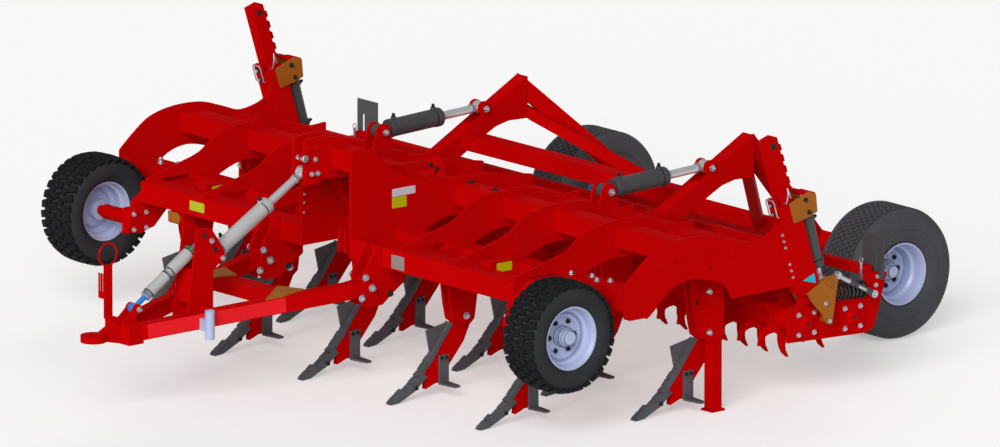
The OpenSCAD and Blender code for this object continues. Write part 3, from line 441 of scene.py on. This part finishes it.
# fasteners: thread size in mm, then across, along, up and the way the head looks, repeated on the other side
ways = {"out": left, "in": -left, "up": up, "front": -back}
boltSets = {
    "lugBolts": dict(body="frame", look="zincPlatedSteel", size=22, at=(
        (586, 72, 776, "out"), (586, 40, 644, "out"), (454, 72, 776, "in"), (454, 40, 644, "in"))),
    # black bolts where the lugs' holes show dark: their black is painted shade
    "lugHoleShadeBolts": dict(body="frame", look="blackSteelAndPaintedShade", size=20, at=(
        (454, 278, 640, "in"), (586, 278, 640, "out"))),
    "armPinHeads": dict(body="frame", look="zincPlatedSteel", size=24, at=(
        (601, *pins["arm"], "out"), (439, *pins["arm"], "in"))),
    "clevisBolts": dict(body="frame", look="zincPlatedSteel", size=17, at=(
        (66, 82, 1468, "out"), (66, 104, 1372, "out"), (91, *pins["drawRod"], "out"))),
    "clevisPlugs": dict(body="frame", look="sprayedRedEnamel", size=17, at=(
        (66, 92, 1545, "out"), (66, 30, 1545, "out"), (66, 70, 1322, "out"))),
    "towerEdgeScrews": dict(body="frame", look="zincPlatedSteel", size=8, at=(
        (240, 242, 1219, "in"), (240, 240, 1160, "in"), (240, 238, 1105, "in"), (240, 236, 1040, "in"))),
    "standHolderBolts": dict(body="frame", look="zincPlatedSteel", size=20, at=(
        (2388, 1461, 528, "front"), (2388, 1461, 800, "front"))),
    "rearBracketBolts": dict(body="frame", look="blackSteelAndPaintedShade", size=12, at=((2295, 1428, 710, "out"),)),
    "beamClampBolts": dict(body="frame", look="zincPlatedSteel", size=20, at=(
        (1966, 645, 960, "up"), (2110, 700, 960, "up"), (2222, 645, 960, "up"), (2290, 700, 960, "up"))),
    "gaugeFlangeBolts": dict(body="frame", look="zincPlatedSteel", size=16, at=tuple(
        (x, pins["gauge"][0] + a * 52, pins["gauge"][1] + b * 52, w)
        for x, w in ((1983.9, "out"), (1899.9, "in")) for a, b in fourCorners)),
    "endPlatePlugs": dict(body="frame", look="sprayedRedEnamel", size=11, at=tuple(
        (2579.6, y, z, "out") for y, z in ((993, 1107), (1092, 1110), (1361, 1103), (1496, 1073), (874, 1064),
                                           (1086, 1016), (1283, 1026)))),
    "headBolts": dict(body="frame", look="blackSteelAndPaintedShade", size=15, at=tuple(
        (postX + k * 82, y, z, w) for k, w in bothFaces for y, z in ((2010, 1376), (2040, 1290)))),
    "crankBolts": dict(body="roller_frame", look="zincPlatedSteel", size=14, at=tuple(
        (postX + k * 88, y, z, w) for k, w in bothFaces for y, z in ((2215, 546), (2180, 666)))),
    "bearingBolts": dict(body="roller_frame", look="zincPlatedSteel", size=16, at=tuple(
        (sideX + 9, y + a * 66, z + b * 66, "out") for y, z in pins["rollers"] for a, b in fourCorners)),
    "sideBolts": dict(body="roller_frame", look="zincPlatedSteel", size=14, at=(
        (sideX, 2690, 756, "out"), (sideX, 2676, 702, "out"))),
    "liftBasePins": dict(body="frame", look="zincPlatedSteel", size=22, at=(
        (1221, *pins["liftBase"], "out"), (1069, *pins["liftBase"], "in"))),
    "liftPivotPins": dict(body="frame", look="zincPlatedSteel", size=26, at=(
        (1226, *pins["liftPivot"], "out"), (1064, *pins["liftPivot"], "in"))),
    "liftRodPins": dict(body="lift_frame", look="zincPlatedSteel", size=20, at=(
        (1216, *pins["liftRod"], "out"), (1074, *pins["liftRod"], "in"))),
    "mastPins": dict(body="drawbar", look="zincPlatedSteel", size=18, at=(
        (110, *pins["drawBase"], "out"), (90, *pins["linkRear"], "out"), (55, *pins["linkFront"], "out"))),
    # black bolts where the mast's holes show dark: their black is painted shade
    "mastHoleBolts": dict(body="drawbar", look="blackSteelAndPaintedShade", size=15, at=(
        (80, -858, 1104, "out"), (80, -770, 1000, "out"))),
}
for name, spec in boltSets.items():
    mesh = bmesh.new()
    for s in (1, -1):
        for across, along, high, way in spec["at"]:
            head = Vector((ways[way].x * s, ways[way].y, ways[way].z))
            bolted(mesh, spot(across * s, along, high), head, spec["size"])
    addPiece(name, spec["body"], spec["look"], mesh)

# tines: rows as (outermost, tip), bolts as off the middle, along, up and size, tiles as start, end and width
tines = dict(pitch=900, rows=((1800, 0), (2250, 926)), cheek=((45, 620, 507, 22),),
             wear=((32, 425, 250, 12), (32, 465, 250, 12), (30, 213, 83, 14)),
             tiles=(((10, 8), (66, 47), 57), ((72, 51), (112, 80), 57), ((184, 113), (232, 145), 57),
                    ((262, 186), (299, 226), 52), ((303, 230), (340, 270), 52)),
             tileThick=10, tileLift=3, tileEase=2.5)
cheekBolts, wearBolts, tiles = bmesh.new(), bmesh.new(), bmesh.new()
for x, tip in [(x, tip) for last, tip in tines["rows"] for x in range(-last, last + 1, tines["pitch"])]:
    for s in (1, -1):
        for mesh, kind in ((cheekBolts, "cheek"), (wearBolts, "wear")):
            for off, along, high, size in tines[kind]:
                bolted(mesh, spot(x + s * off, tip + along, high), left * s, size)
    # hard tiles laid on the point and the shin, a step between each two
    for (ay, az), (by, bz), wide in tines["tiles"]:
        run = Vector((0, by - ay, bz - az))
        lift = Vector((0, -run.z, run.y)).normalized()
        middle = spot(x, tip + (ay + by) / 2, (az + bz) / 2) + lift * tines["tileLift"] / 1000
        boxed(tiles, middle, (wide, run.length, tines["tileThick"]), left, lift, tines["tileEase"])
addPiece("wearTiles", "frame", "dippedWearSteel", tiles)
addPiece("tineBolts", "frame", "zincPlatedSteel", cheekBolts)
addPiece("wearPartBolts", "frame", "blackSteelAndPaintedShade", wearBolts)
print("stage: bolts set")


def rounded(wide, tall, radius, steps=4):
    # a rectangle with rounded corners, in mm about its middle
    points = []
    for k, (a, b) in enumerate(((1, 1), (-1, 1), (-1, -1), (1, -1))):
        for i in range(steps + 1):
            angle = math.pi / 2 * (k + i / steps)
            points.append((a * (wide / 2 - radius) + radius * math.cos(angle),
                           b * (tall / 2 - radius) + radius * math.sin(angle)))
    return points


# blank film and plates: look, middle, width, height and the way the width runs
filmCorner, filmThick = 8, 1.5
films = {
    "yellowFilmBeamRight": ("printedYellowFilm", (-1317, 217, 890), 150, 64, left),
    "yellowFilmTower": ("printedYellowFilm", (260, 627, 1140), 122, 74, back),
    "whiteFilmTower": ("printedWhiteFilm", (260, 664, 1206), 196, 52, back),
    "yellowFilmLinkLeft": ("printedYellowFilm", (1495, 480, 951), 128, 60, back),
    "yellowFilmLinkRight": ("printedYellowFilm", (-1405, 480, 951), 128, 60, back),
    "blankTypePlate": ("anodisedPlate", (738, 217, 880), 128, 92, left),
}
for name, (look, middle, wide, tall, across) in films.items():
    mesh = bmesh.new()
    plated(mesh, rounded(wide, tall, filmCorner), spot(*middle), across, up, filmThick)
    addPiece(name, "frame", look, mesh)

# short box links between the two front beams, each with a cap: height, size and eased edge
beamLinks = dict(across=1450, along=478.5, parts=((912, (90, 243, 150), 5), (990, (100, 238, 10), 3)))
links = bmesh.new()
for s in (1, -1):
    for high, size, ease in beamLinks["parts"]:
        boxed(links, spot(s * beamLinks["across"], beamLinks["along"], high), size, bevel=ease)
addPiece("beamLinks", "frame", "sprayedRedEnamel", links)

# arched lug with a rib on the third beam, two black discs of painted shade on its holes before it, and two
# hose fittings beside it
hoseLug = dict(along=1152, beamTop=1190, foot=86, archWide=66, archFoot=74, archTall=62, archSteps=14,
               thick=-18, rib=(0, 1170, 1215), ribSize=(14, 36, 50), holeAlong=1134.1,
               holes=((-30, 1262), (34, 1248)), fittings=((303, 1205), (568, 1180)))
lug, holes = bmesh.new(), bmesh.new()
arch = [(-hoseLug["foot"], 0), (hoseLug["foot"], 0)]
for i in range(hoseLug["archSteps"] + 1):
    angle = math.pi * i / hoseLug["archSteps"]
    arch.append((math.cos(angle) * hoseLug["archWide"],
                 hoseLug["archFoot"] + math.sin(angle) * hoseLug["archTall"]))
plated(lug, arch, spot(0, hoseLug["along"], hoseLug["beamTop"]), left, up, hoseLug["thick"])
boxed(lug, spot(*hoseLug["rib"]), hoseLug["ribSize"], bevel=2)
# black discs on the holes: painted shade
for x, z in hoseLug["holes"]:
    turned(holes, [(0, 17), (3, 17), (4, 12), (1.5, 11)], spot(x, hoseLug["holeAlong"], z), -back, 20)
for x, y in hoseLug["fittings"]:
    turned(holes, [(0, 22), (7, 22), (9, 18)], spot(x, y, hoseLug["beamTop"]), up, 6)
    turned(holes, [(8, 12), (15, 12), (17, 9)], spot(x, y, hoseLug["beamTop"]), up, 16)
addPiece("hoseLug", "frame", "sprayedRedEnamel", lug)
addPiece("hoseFittingsAndHoleShade", "frame", "blackSteelAndPaintedShade", holes)

# spare pin carried on the clevis, and a box under the front beam's right with an amber plate and a rod
carriers = dict(boxes=(((53, -22, 1491), (24, 36, 62), 4), ((-1550, 287, 778), (130, 110, 86), 5),
                       ((-1550, 287, 738), (150, 120, 10), 2)),
                spare=(53, -22, 1491), rod=(-1640, 262, 818), rodStep=(8, -9), rodSteps=8, rodRadius=7,
                plate=(-1560, 226, 778), plateShape=((-60, -34), (52, -34), (66, 0), (40, 34), (-60, 34)),
                plateThick=8)
carrier, spare, amber = bmesh.new(), bmesh.new(), bmesh.new()
for middle, size, ease in carriers["boxes"]:
    boxed(carrier, spot(*middle), size, bevel=ease)
turned(spare, [(-40, 16), (-38, 18), (30, 18), (30, 24), (42, 24), (45, 21)], spot(*carriers["spare"]),
       left, 28)
(x, y, z), (stepX, stepZ) = carriers["rod"], carriers["rodStep"]
swept(spare, [spot(x + stepX * i, y, z + stepZ * i) for i in range(carriers["rodSteps"] + 1)],
      carriers["rodRadius"])
plated(amber, carriers["plateShape"], spot(*carriers["plate"]), left, up, carriers["plateThick"])
addPiece("pinCarriers", "frame", "sprayedRedEnamel", carrier)
addPiece("sparePins", "frame", "zincPlatedSteel", spare)
addPiece("frontStopPlate", "frame", "sprayedAmberPlate", amber)

# weld beads where standing plates meet the beams: the plates across, then each beam's front and top
welds = dict(plates=(739.8, 1269.9, 1870.2), half=10, tower=260, end=2559.6, low=((217, 960), (600, 960)),
             high=((1100, 1190), (1560, 1110)), beam=140, plateFront=250, radius=4.5, sides=6, ripple=1.2,
             rippleTurn=2.4)


def beadLine(x, start, end, steps, last=0):
    # points from one corner to another, rippled like a hand weld, with the end itself if last is 1
    (ay, az), (by, bz) = start, end
    return [spot(x + welds["ripple"] * math.sin(welds["rippleTurn"] * i), ay + (by - ay) * i / steps,
                 az + (bz - az) * i / steps) for i in range(steps + last)]


def beadRound(mesh, x, front, top):
    # a bead round the beam's section
    rear, low = front + welds["beam"], top - welds["beam"]
    corners = [(front, top), (rear, top), (rear, low), (front, low)]
    points = []
    for start, end in zip(corners, corners[1:] + corners[:1]):
        points += beadLine(x, start, end, 12)
    swept(mesh, points, welds["radius"], welds["sides"], closed=True)


beads = bmesh.new()
for s in (1, -1):
    for x in [s * middle + k * welds["half"] for middle in welds["plates"] for k in (-1, 1)]:
        for front, top in welds["high"]:
            beadRound(beads, x, front, top)
        for front, top in welds["low"]:
            start, end = (max(front, welds["plateFront"]), top), (front + welds["beam"], top)
            swept(beads, beadLine(x, start, end, 14, 1), welds["radius"], welds["sides"])
    for front, top in welds["low"]:
        beadRound(beads, s * welds["tower"], front, top)
    for front, top in welds["high"]:
        beadRound(beads, s * welds["end"], front, top)
addPiece("weldBeads", "frame", "sprayedRedEnamel", beads)
print("stage: films and fittings set")

# cylinders: pins, places across, radii, the barrel's start and end from the base, ports, nut and finish
cylinders = {
    "draw": dict(bodies=("draw_barrel", "draw_rod"), base=pins["drawBase"], pin=pins["drawRod"], at=(0,),
                 radius=50, rod=26, first=80, last=540, ports=(120, 500), nut=86, tube="sprayedPaleGrey"),
    "lift": dict(bodies=("lift_barrels", "lift_rods"), base=pins["liftBase"], pin=pins["liftRod"],
                 at=(1145, -1145), radius=60, rod=28, first=80, last=520, ports=(130, 470), nut=86,
                 tube="powderCoatedCharcoal"),
    "depth": dict(bodies=("depth_barrels", "depth_rods"), base=pins["depthBase"], pin=pins["depthRod"],
                  at=(postX, -postX), radius=44, rod=20, first=80, last=440, ports=(115, 400), nut=0,
                  tube="powderCoatedCharcoal"),
}
bush = dict(start=30.4, end=34.6, inner=26, outer=43)
for name, c in cylinders.items():
    tube, seal, bronze, nuts = bmesh.new(), bmesh.new(), bmesh.new(), bmesh.new()
    r, rod, a, b = c["radius"], c["rod"], c["first"], c["last"]
    for x in c["at"]:
        base, pin = spot(x, *c["base"]), spot(x, *c["pin"])
        axis = (pin - base).normalized()
        proud = axis.cross(left).normalized()
        proud = proud if proud.z > 0 else -proud
        # band at the foot and gland at the rod's end
        turned(tube, [(a - 4, r - 4), (a - 2, r + 1), (a + 6, r + 3), (a + 26, r + 3), (a + 30, r - 4)],
               base, axis, 40, ring=True)
        turned(tube, [(b - 44, r - 4), (b - 40, r + 3.5), (b - 4, r + 3.5), (b + 1, r), (b + 2, rod + 6),
                      (b - 8, rod + 6)], base, axis, 40, ring=True)
        for reach in c["ports"]:
            port = base + axis * reach / 1000 + proud * r / 1000
            turned(tube, [(-8, 20), (10, 20), (13, 16)], port, proud, 20)
            turned(seal, [(12, 13), (24, 13), (26, 10), (36, 10)], port, proud, 6)
        # dark joint before the gland, and the rod's wiper
        turned(seal, [(b - 54, r - 2), (b - 53, r + 1.6), (b - 46, r + 1.6), (b - 45, r - 2)],
               base, axis, 40, ring=True)
        turned(seal, [(b + 1, rod + 0.6), (b + 1, rod + 9), (b + 8, rod + 8), (b + 10, rod + 0.6)],
               base, axis, 32, ring=True)
        for k in (-1, 1):
            turned(bronze, [(bush["start"], bush["inner"]), (bush["start"], bush["outer"]),
                            (bush["end"], bush["outer"]), (bush["end"], bush["inner"])],
                   base, left * k, 32, ring=True)
        if c["nut"]:
            n = (pin - base).length * 1000 - c["nut"]
            turned(nuts, [(n, rod - 2), (n + 2, rod + 7), (n + 24, rod + 7), (n + 26, rod - 2)],
                   base, axis, 6, ring=True)
    addPiece(f"{name}CylinderCaps", c["bodies"][0], c["tube"], tube)
    addPiece(f"{name}CylinderSeals", c["bodies"][0], "blackSteelAndPaintedShade", seal)
    addPiece(f"{name}CylinderBushes", c["bodies"][0], "turnedBronze", bronze)
    if c["nut"]:
        addPiece(f"{name}RodNuts", c["bodies"][1], "zincPlatedSteel", nuts)

# top link: green lock ring, black collars as (reach, radius) and silver nuts on the screw
topLink = dict(ring=549, collars=((146, 39), (316, 39), (356, 44), (540, 44)), nuts=(112, 128, 324))
start = spot(0, *pins["linkFront"])
way = (spot(0, *pins["linkRear"]) - start).normalized()
green, collars, lockNuts = bmesh.new(), bmesh.new(), bmesh.new()
a = topLink["ring"]
turned(green, [(a, 24), (a, 45), (a + 3, 47), (a + 17, 47), (a + 20, 44), (a + 20, 24)],
       start, way, 36, ring=True)
for a, r in topLink["collars"]:
    turned(collars, [(a, r - 4), (a + 0.5, r), (a + 6, r), (a + 6.5, r - 4)], start, way, 36, ring=True)
for a in topLink["nuts"]:
    turned(lockNuts, [(a, 24), (a + 1, 38), (a + 11, 38), (a + 12, 24)], start, way, 6, ring=True)
addPiece("linkLockRing", "drawbar", "sprayedGreenEnamel", green)
addPiece("linkCollars", "drawbar", "blackSteelAndPaintedShade", collars)
addPiece("linkNuts", "drawbar", "zincPlatedSteel", lockNuts)

# facing plates on the drawbar arms' outer sides, in the arms' rising plane: across, and along from the pin
arms = dict(rise=0.09904, knee=(560, -135), front=(115, -1562.6), start=-1496, end=-578, tall=96, thick=4,
            proud=2)
slope = math.atan(arms["rise"])
ahead = Vector((0, math.cos(slope), math.sin(slope)))
lift = Vector((0, -math.sin(slope), math.cos(slope)))
(kneeX, kneeY), (frontX, frontY) = arms["knee"], arms["front"]
middle = (arms["start"] + arms["end"]) / 2
across = frontX + (kneeX - frontX) * (middle - frontY) / (kneeY - frontY)
facings = bmesh.new()
for s in (1, -1):
    run = (left * s * (kneeX - frontX) + ahead * (kneeY - frontY)).normalized()
    outward = run.cross(lift) * s
    centre = spot(s * across, *pins["arm"]) + (ahead * middle + outward * arms["proud"]) / 1000
    size = ((arms["end"] - arms["start"]) / run.dot(ahead), arms["thick"], arms["tall"])
    boxed(facings, centre, size, run, lift, 1.5)
addPiece("armFacings", "drawbar", "sprayedBrightRed", facings)
print("stage: cylinders and drawbar dressed")

# posts: places across, back and up in the leaning post's own frame; caps in the machine's
posts = dict(lean=17.6, foot=(2112, 670), face=-70, screws=(522, 476, 430, 310, 264, 217), screwSize=11,
             sleeveFace=-98, pins=(688, 752), cheek=46, cheekHole=1140, wire=4.5,
             loop=((-38, -90, 664), (-40, -104, 676), (-40, -104, 776), (-30, -104, 792), (30, -104, 792),
                   (40, -104, 776), (40, -104, 676), (38, -90, 664)),
             hook=((46, -30, 742), (64, -30, 742), (74, -22, 760), (72, 0, 800), (60, 14, 832), (56, 22, 800),
                   (60, 20, 760)),
             caps=(((2068, 1404), (138, 74, 16), 3), ((2030, 1408), (138, 12, 26), 2)))
lean = math.radians(posts["lean"])
postFront = Vector((0, -math.cos(lean), -math.sin(lean)))


def onPost(s, x, y, z):
    # a point in the leaning post's own frame, z up the post
    footY, footZ = posts["foot"]
    return spot(s * postX + x, footY + y * math.cos(lean) - z * math.sin(lean),
                footZ + y * math.sin(lean) + z * math.cos(lean))


screws, dark, clips, caps = bmesh.new(), bmesh.new(), bmesh.new(), bmesh.new()
for s in (1, -1):
    for z in posts["screws"]:
        bolted(screws, onPost(s, 0, posts["face"], z), postFront, posts["screwSize"])
    # dark discs round each pin: painted shade in its hole
    for z in posts["pins"]:
        pin = onPost(s, 0, posts["sleeveFace"], z)
        turned(dark, [(-1, 17), (6, 17), (8, 14)], pin, postFront, 24)
        turned(screws, [(6, 10), (16, 10), (18, 8)], pin, postFront, 16)
    # dark discs over the cheek holes: painted shade
    for k in (-1, 1):
        hole = onPost(s, k * posts["cheek"], 0, posts["cheekHole"])
        turned(dark, [(-1, 22), (1.5, 22), (2, 18), (0.5, 17)], hole, left * k, 24)
    for bent in ("loop", "hook"):
        swept(clips, [onPost(s, *point) for point in posts[bent]], posts["wire"], 8)
    for (along, high), size, ease in posts["caps"]:
        boxed(caps, spot(s * postX, along, high), size, bevel=ease)
addPiece("postScrews", "frame", "zincPlatedSteel", screws)
addPiece("postPinAndCheekHoleShade", "frame", "blackSteelAndPaintedShade", dark)
addPiece("postClips", "frame", "zincPlatedSteel", clips)
addPiece("postHeadCaps", "frame", "sprayedRedEnamel", caps)

# depth pointer on the left sleeve's outer side
depthPointer = dict(place=(postX + 70, 2000, 809), shape=((0, 32), (95, 68), (110, 0)), thick=3)
pointer = bmesh.new()
plated(pointer, depthPointer["shape"], spot(*depthPointer["place"]), back, up, depthPointer["thick"])
addPiece("depthPointer", "frame", "sprayedCyanEnamel", pointer)

# roller ends: flanged bearings, a telescopic strut, its coil spring and a drop pin, ends as (along, up)
rollerEnds = dict(plate=(196, 190, 26), plateThick=9, strutX=postX + 82, strut=((2285, 838), (2596, 668)),
                  strutPinX=postX - 10, pinRadius=12.8, spring=((2292, 714), (2556, 690)), coils=8,
                  coilSteps=18, coilRadius=46, wire=9, springPin=88, springPinBack=12,
                  dropPin=(2570, 2590, 775), ringHigh=872, ringRadius=16, ringWire=3.5, ringSteps=20)
flanges, boots, strutSteel, strutBlack = bmesh.new(), bmesh.new(), bmesh.new(), bmesh.new()
coil, dropPin = bmesh.new(), bmesh.new()
e = rollerEnds
for s in (1, -1):
    out = left * s
    for y, z in pins["rollers"]:
        bearing = spot(s * sideX, y, z)
        plated(flanges, rounded(*e["plate"]), bearing, back * s, up, e["plateThick"])
        turned(flanges, [(8, 58), (20, 56), (26, 48), (30, 30), (30, 12), (24, 10)], bearing, out, 36)
        turned(boots, [(24, 11), (32, 11), (34, 8)], bearing, out, 16)
    # strut: a sleeve, two dark tubes, eyes and their pins
    r = e["pinRadius"]
    top, low = (spot(s * e["strutX"], *end) for end in e["strut"])
    run = (low - top).normalized()
    length = (low - top).length * 1000
    turned(strutSteel, [(20, 14), (22, 17), (120, 17), (122, 14), (128, 13), (length - 60, 13)], top, run, 24)
    turned(strutBlack, [(118, 18), (119, 21), (150, 21), (152, 18), (196, 18), (198, 14)], top, run, 24)
    turned(strutBlack, [(length - 76, 14), (length - 74, 19), (length - 30, 19), (length - 26, 15)],
           top, run, 24)
    for eyeAt in (top, low):
        turned(strutSteel, [(-15, 13), (-15, 25), (15, 25), (15, 13)], eyeAt, left, 28, ring=True)
    lowPin = spot(s * e["strutPinX"], *e["strut"][1])
    turned(strutSteel, [(0, r), (90, r), (92, 18), (100, 18), (102, 15)], lowPin, out, 20)
    turned(strutSteel, [(-8, r), (18, r), (19, 18), (24, 18)], top, out, 20)
    # spring between two seats, on a pin at its front
    head, tail = (spot(s * postX, *end) for end in e["spring"])
    run = (tail - head).normalized()
    other = run.cross(left)
    steps = e["coils"] * e["coilSteps"]
    wire = []
    for i in range(steps + 1):
        angle = 2 * math.pi * i / e["coilSteps"]
        wire.append(head + run * (tail - head).length * (i / steps)
                    + (left * math.cos(angle) + other * math.sin(angle)) * e["coilRadius"] / 1000)
    swept(coil, wire, e["wire"], 8)
    turned(boots, [(-16, 20), (-14, 58), (-4, 58), (0, 30), (60, 28), (62, 22)], head, run, 28)
    turned(boots, [(-62, 22), (-60, 28), (0, 30), (4, 58), (10, 58), (12, 40)], tail, run, 28)
    turned(boots, [(-e["springPin"], 12), (e["springPin"], 12)], head - run * e["springPinBack"] / 1000,
           left, 20)
    x, y, z = e["dropPin"]
    turned(dropPin, [(-70, 4), (-62, 9), (74, 9), (74, 13), (80, 13), (82, 10)], spot(s * x, y, z), up, 20)
    hoop = [spot(s * x + e["ringRadius"] * math.cos(a), y, e["ringHigh"] + e["ringRadius"] * math.sin(a))
            for a in circle(e["ringSteps"])]
    swept(dropPin, hoop, e["ringWire"], 8, closed=True)
addPiece("bearingFlanges", "roller_frame", "sprayedRedEnamel", flanges)
addPiece("springSeats", "roller_frame", "blackSteelAndPaintedShade", boots)
addPiece("strutSleeves", "roller_frame", "zincPlatedSteel", strutSteel)
addPiece("strutTubes", "roller_frame", "powderCoatedCharcoal", strutBlack)
addPiece("rollerSprings", "roller_frame", "stovedSpringWire", coil)
addPiece("rollerDropPins", "roller_frame", "zincPlatedSteel", dropPin)
print("stage: posts and roller ends dressed")

# studio: pale floor, a broad soft key in front on the left, a low one behind, and even air
studio = dict(floor="#E6E6E6", floorRough=0.95, floorSeen=0.375, reach=400, white="#FFFFFF", airLight=0.25,
              airSeen="#F6F6F6", spread=40,
              keys=(("keyPanel", (0.52, -0.717, 0.463), 2.4), ("rearPanel", (-0.55, 0.75, 0.36), 0.9)))


def seenDirectly(tree, other):
    # 1 for rays that the eye or the other kind follows, 0 for those that light the object
    paths = addNode(tree, "ShaderNodeLightPath")
    return addNode(tree, "ShaderNodeMath", {"operation": "MAXIMUM"},
                   {0: paths.outputs["Is Camera Ray"], 1: paths.outputs[other]}).outputs["Value"]


floorMesh = bpy.data.meshes.new("studioFloor")
reach = studio["reach"]
floorMesh.from_pydata([(-reach, -reach, 0), (reach, -reach, 0), (reach, reach, 0), (-reach, reach, 0)], [],
                      [(0, 1, 2, 3)])
floor = bpy.data.objects.new("studioFloor", floorMesh)
bpy.context.scene.collection.objects.link(floor)
# rolled vinyl, matt and evenly pale: it takes the shadow and glows a little to meet the backdrop
floorLook = bpy.data.materials.new("rolledPaleVinyl")
floorLook.use_nodes = True
floorTree = floorLook.node_tree
floorShader = floorTree.nodes["Principled BSDF"]
floorShader.inputs["Base Color"].default_value = hexLinear(studio["floor"])
floorShader.inputs["Roughness"].default_value = studio["floorRough"]
floorShader.inputs["Specular IOR Level"].default_value = 0.0
floorShader.inputs["Emission Color"].default_value = hexLinear(studio["white"])
pale = addNode(floorTree, "ShaderNodeMath", {"operation": "MULTIPLY"},
               {0: seenDirectly(floorTree, "Is Glossy Ray")})
pale.inputs[1].default_value = studio["floorSeen"]
floorTree.links.new(pale.outputs["Value"], floorShader.inputs["Emission Strength"])
floorMesh.materials.append(floorLook)

for name, source, strength in studio["keys"]:
    light = bpy.data.lights.new(name, "SUN")
    light.energy = strength
    light.angle = math.radians(studio["spread"])
    holder = bpy.data.objects.new(name, light)
    holder.rotation_euler = (-Vector(source)).to_track_quat("-Z", "Y").to_euler()
    holder.visible_glossy = source[1] < 0  # the rear one leaves no sheen on the tops
    bpy.context.scene.collection.objects.link(holder)
world = bpy.data.worlds.new("studioAir")
world.use_nodes = True
air = world.node_tree
air.nodes["Background"].inputs["Color"].default_value = hexLinear(studio["white"])
air.nodes["Background"].inputs["Strength"].default_value = studio["airLight"]
backdrop = addNode(air, "ShaderNodeBackground", {"Color": hexLinear(studio["airSeen"]), "Strength": 1.0})
blend = addNode(air, "ShaderNodeMixShader", links={"Fac": seenDirectly(air, "Is Transmission Ray")})
air.links.new(air.nodes["Background"].outputs["Background"], blend.inputs[1])
air.links.new(backdrop.outputs["Background"], blend.inputs[2])
air.links.new(blend.outputs["Shader"], air.nodes["World Output"].inputs["Surface"])
bpy.context.scene.world = world

# the photo is drawn without perspective, so a long lens stands far off: lens in mm, the rest in metres
view = dict(azimuth=50.0, elevation=13.0, lens=720.0, sensor=36.0, away=130.72, clip=1000.0,
            target=(0.0, 0.504, 0.791))
turn, rise = math.radians(view["azimuth"]), math.radians(view["elevation"])
toCamera = Vector((math.sin(turn) * math.cos(rise), -math.cos(turn) * math.cos(rise), math.sin(rise)))
eye = bpy.data.cameras.new("photoCamera")
eye.lens = view["lens"]
eye.sensor_width = view["sensor"]
eye.clip_end = view["clip"]
camera = bpy.data.objects.new("photoCamera", eye)
camera.location = Vector(view["target"]) + toCamera * view["away"]
camera.rotation_euler = (-toCamera).to_track_quat("-Z", "Y").to_euler()
bpy.context.scene.collection.objects.link(camera)
bpy.context.scene.camera = camera
bpy.context.scene.view_settings.view_transform = "Standard"
print("stage: studio set")
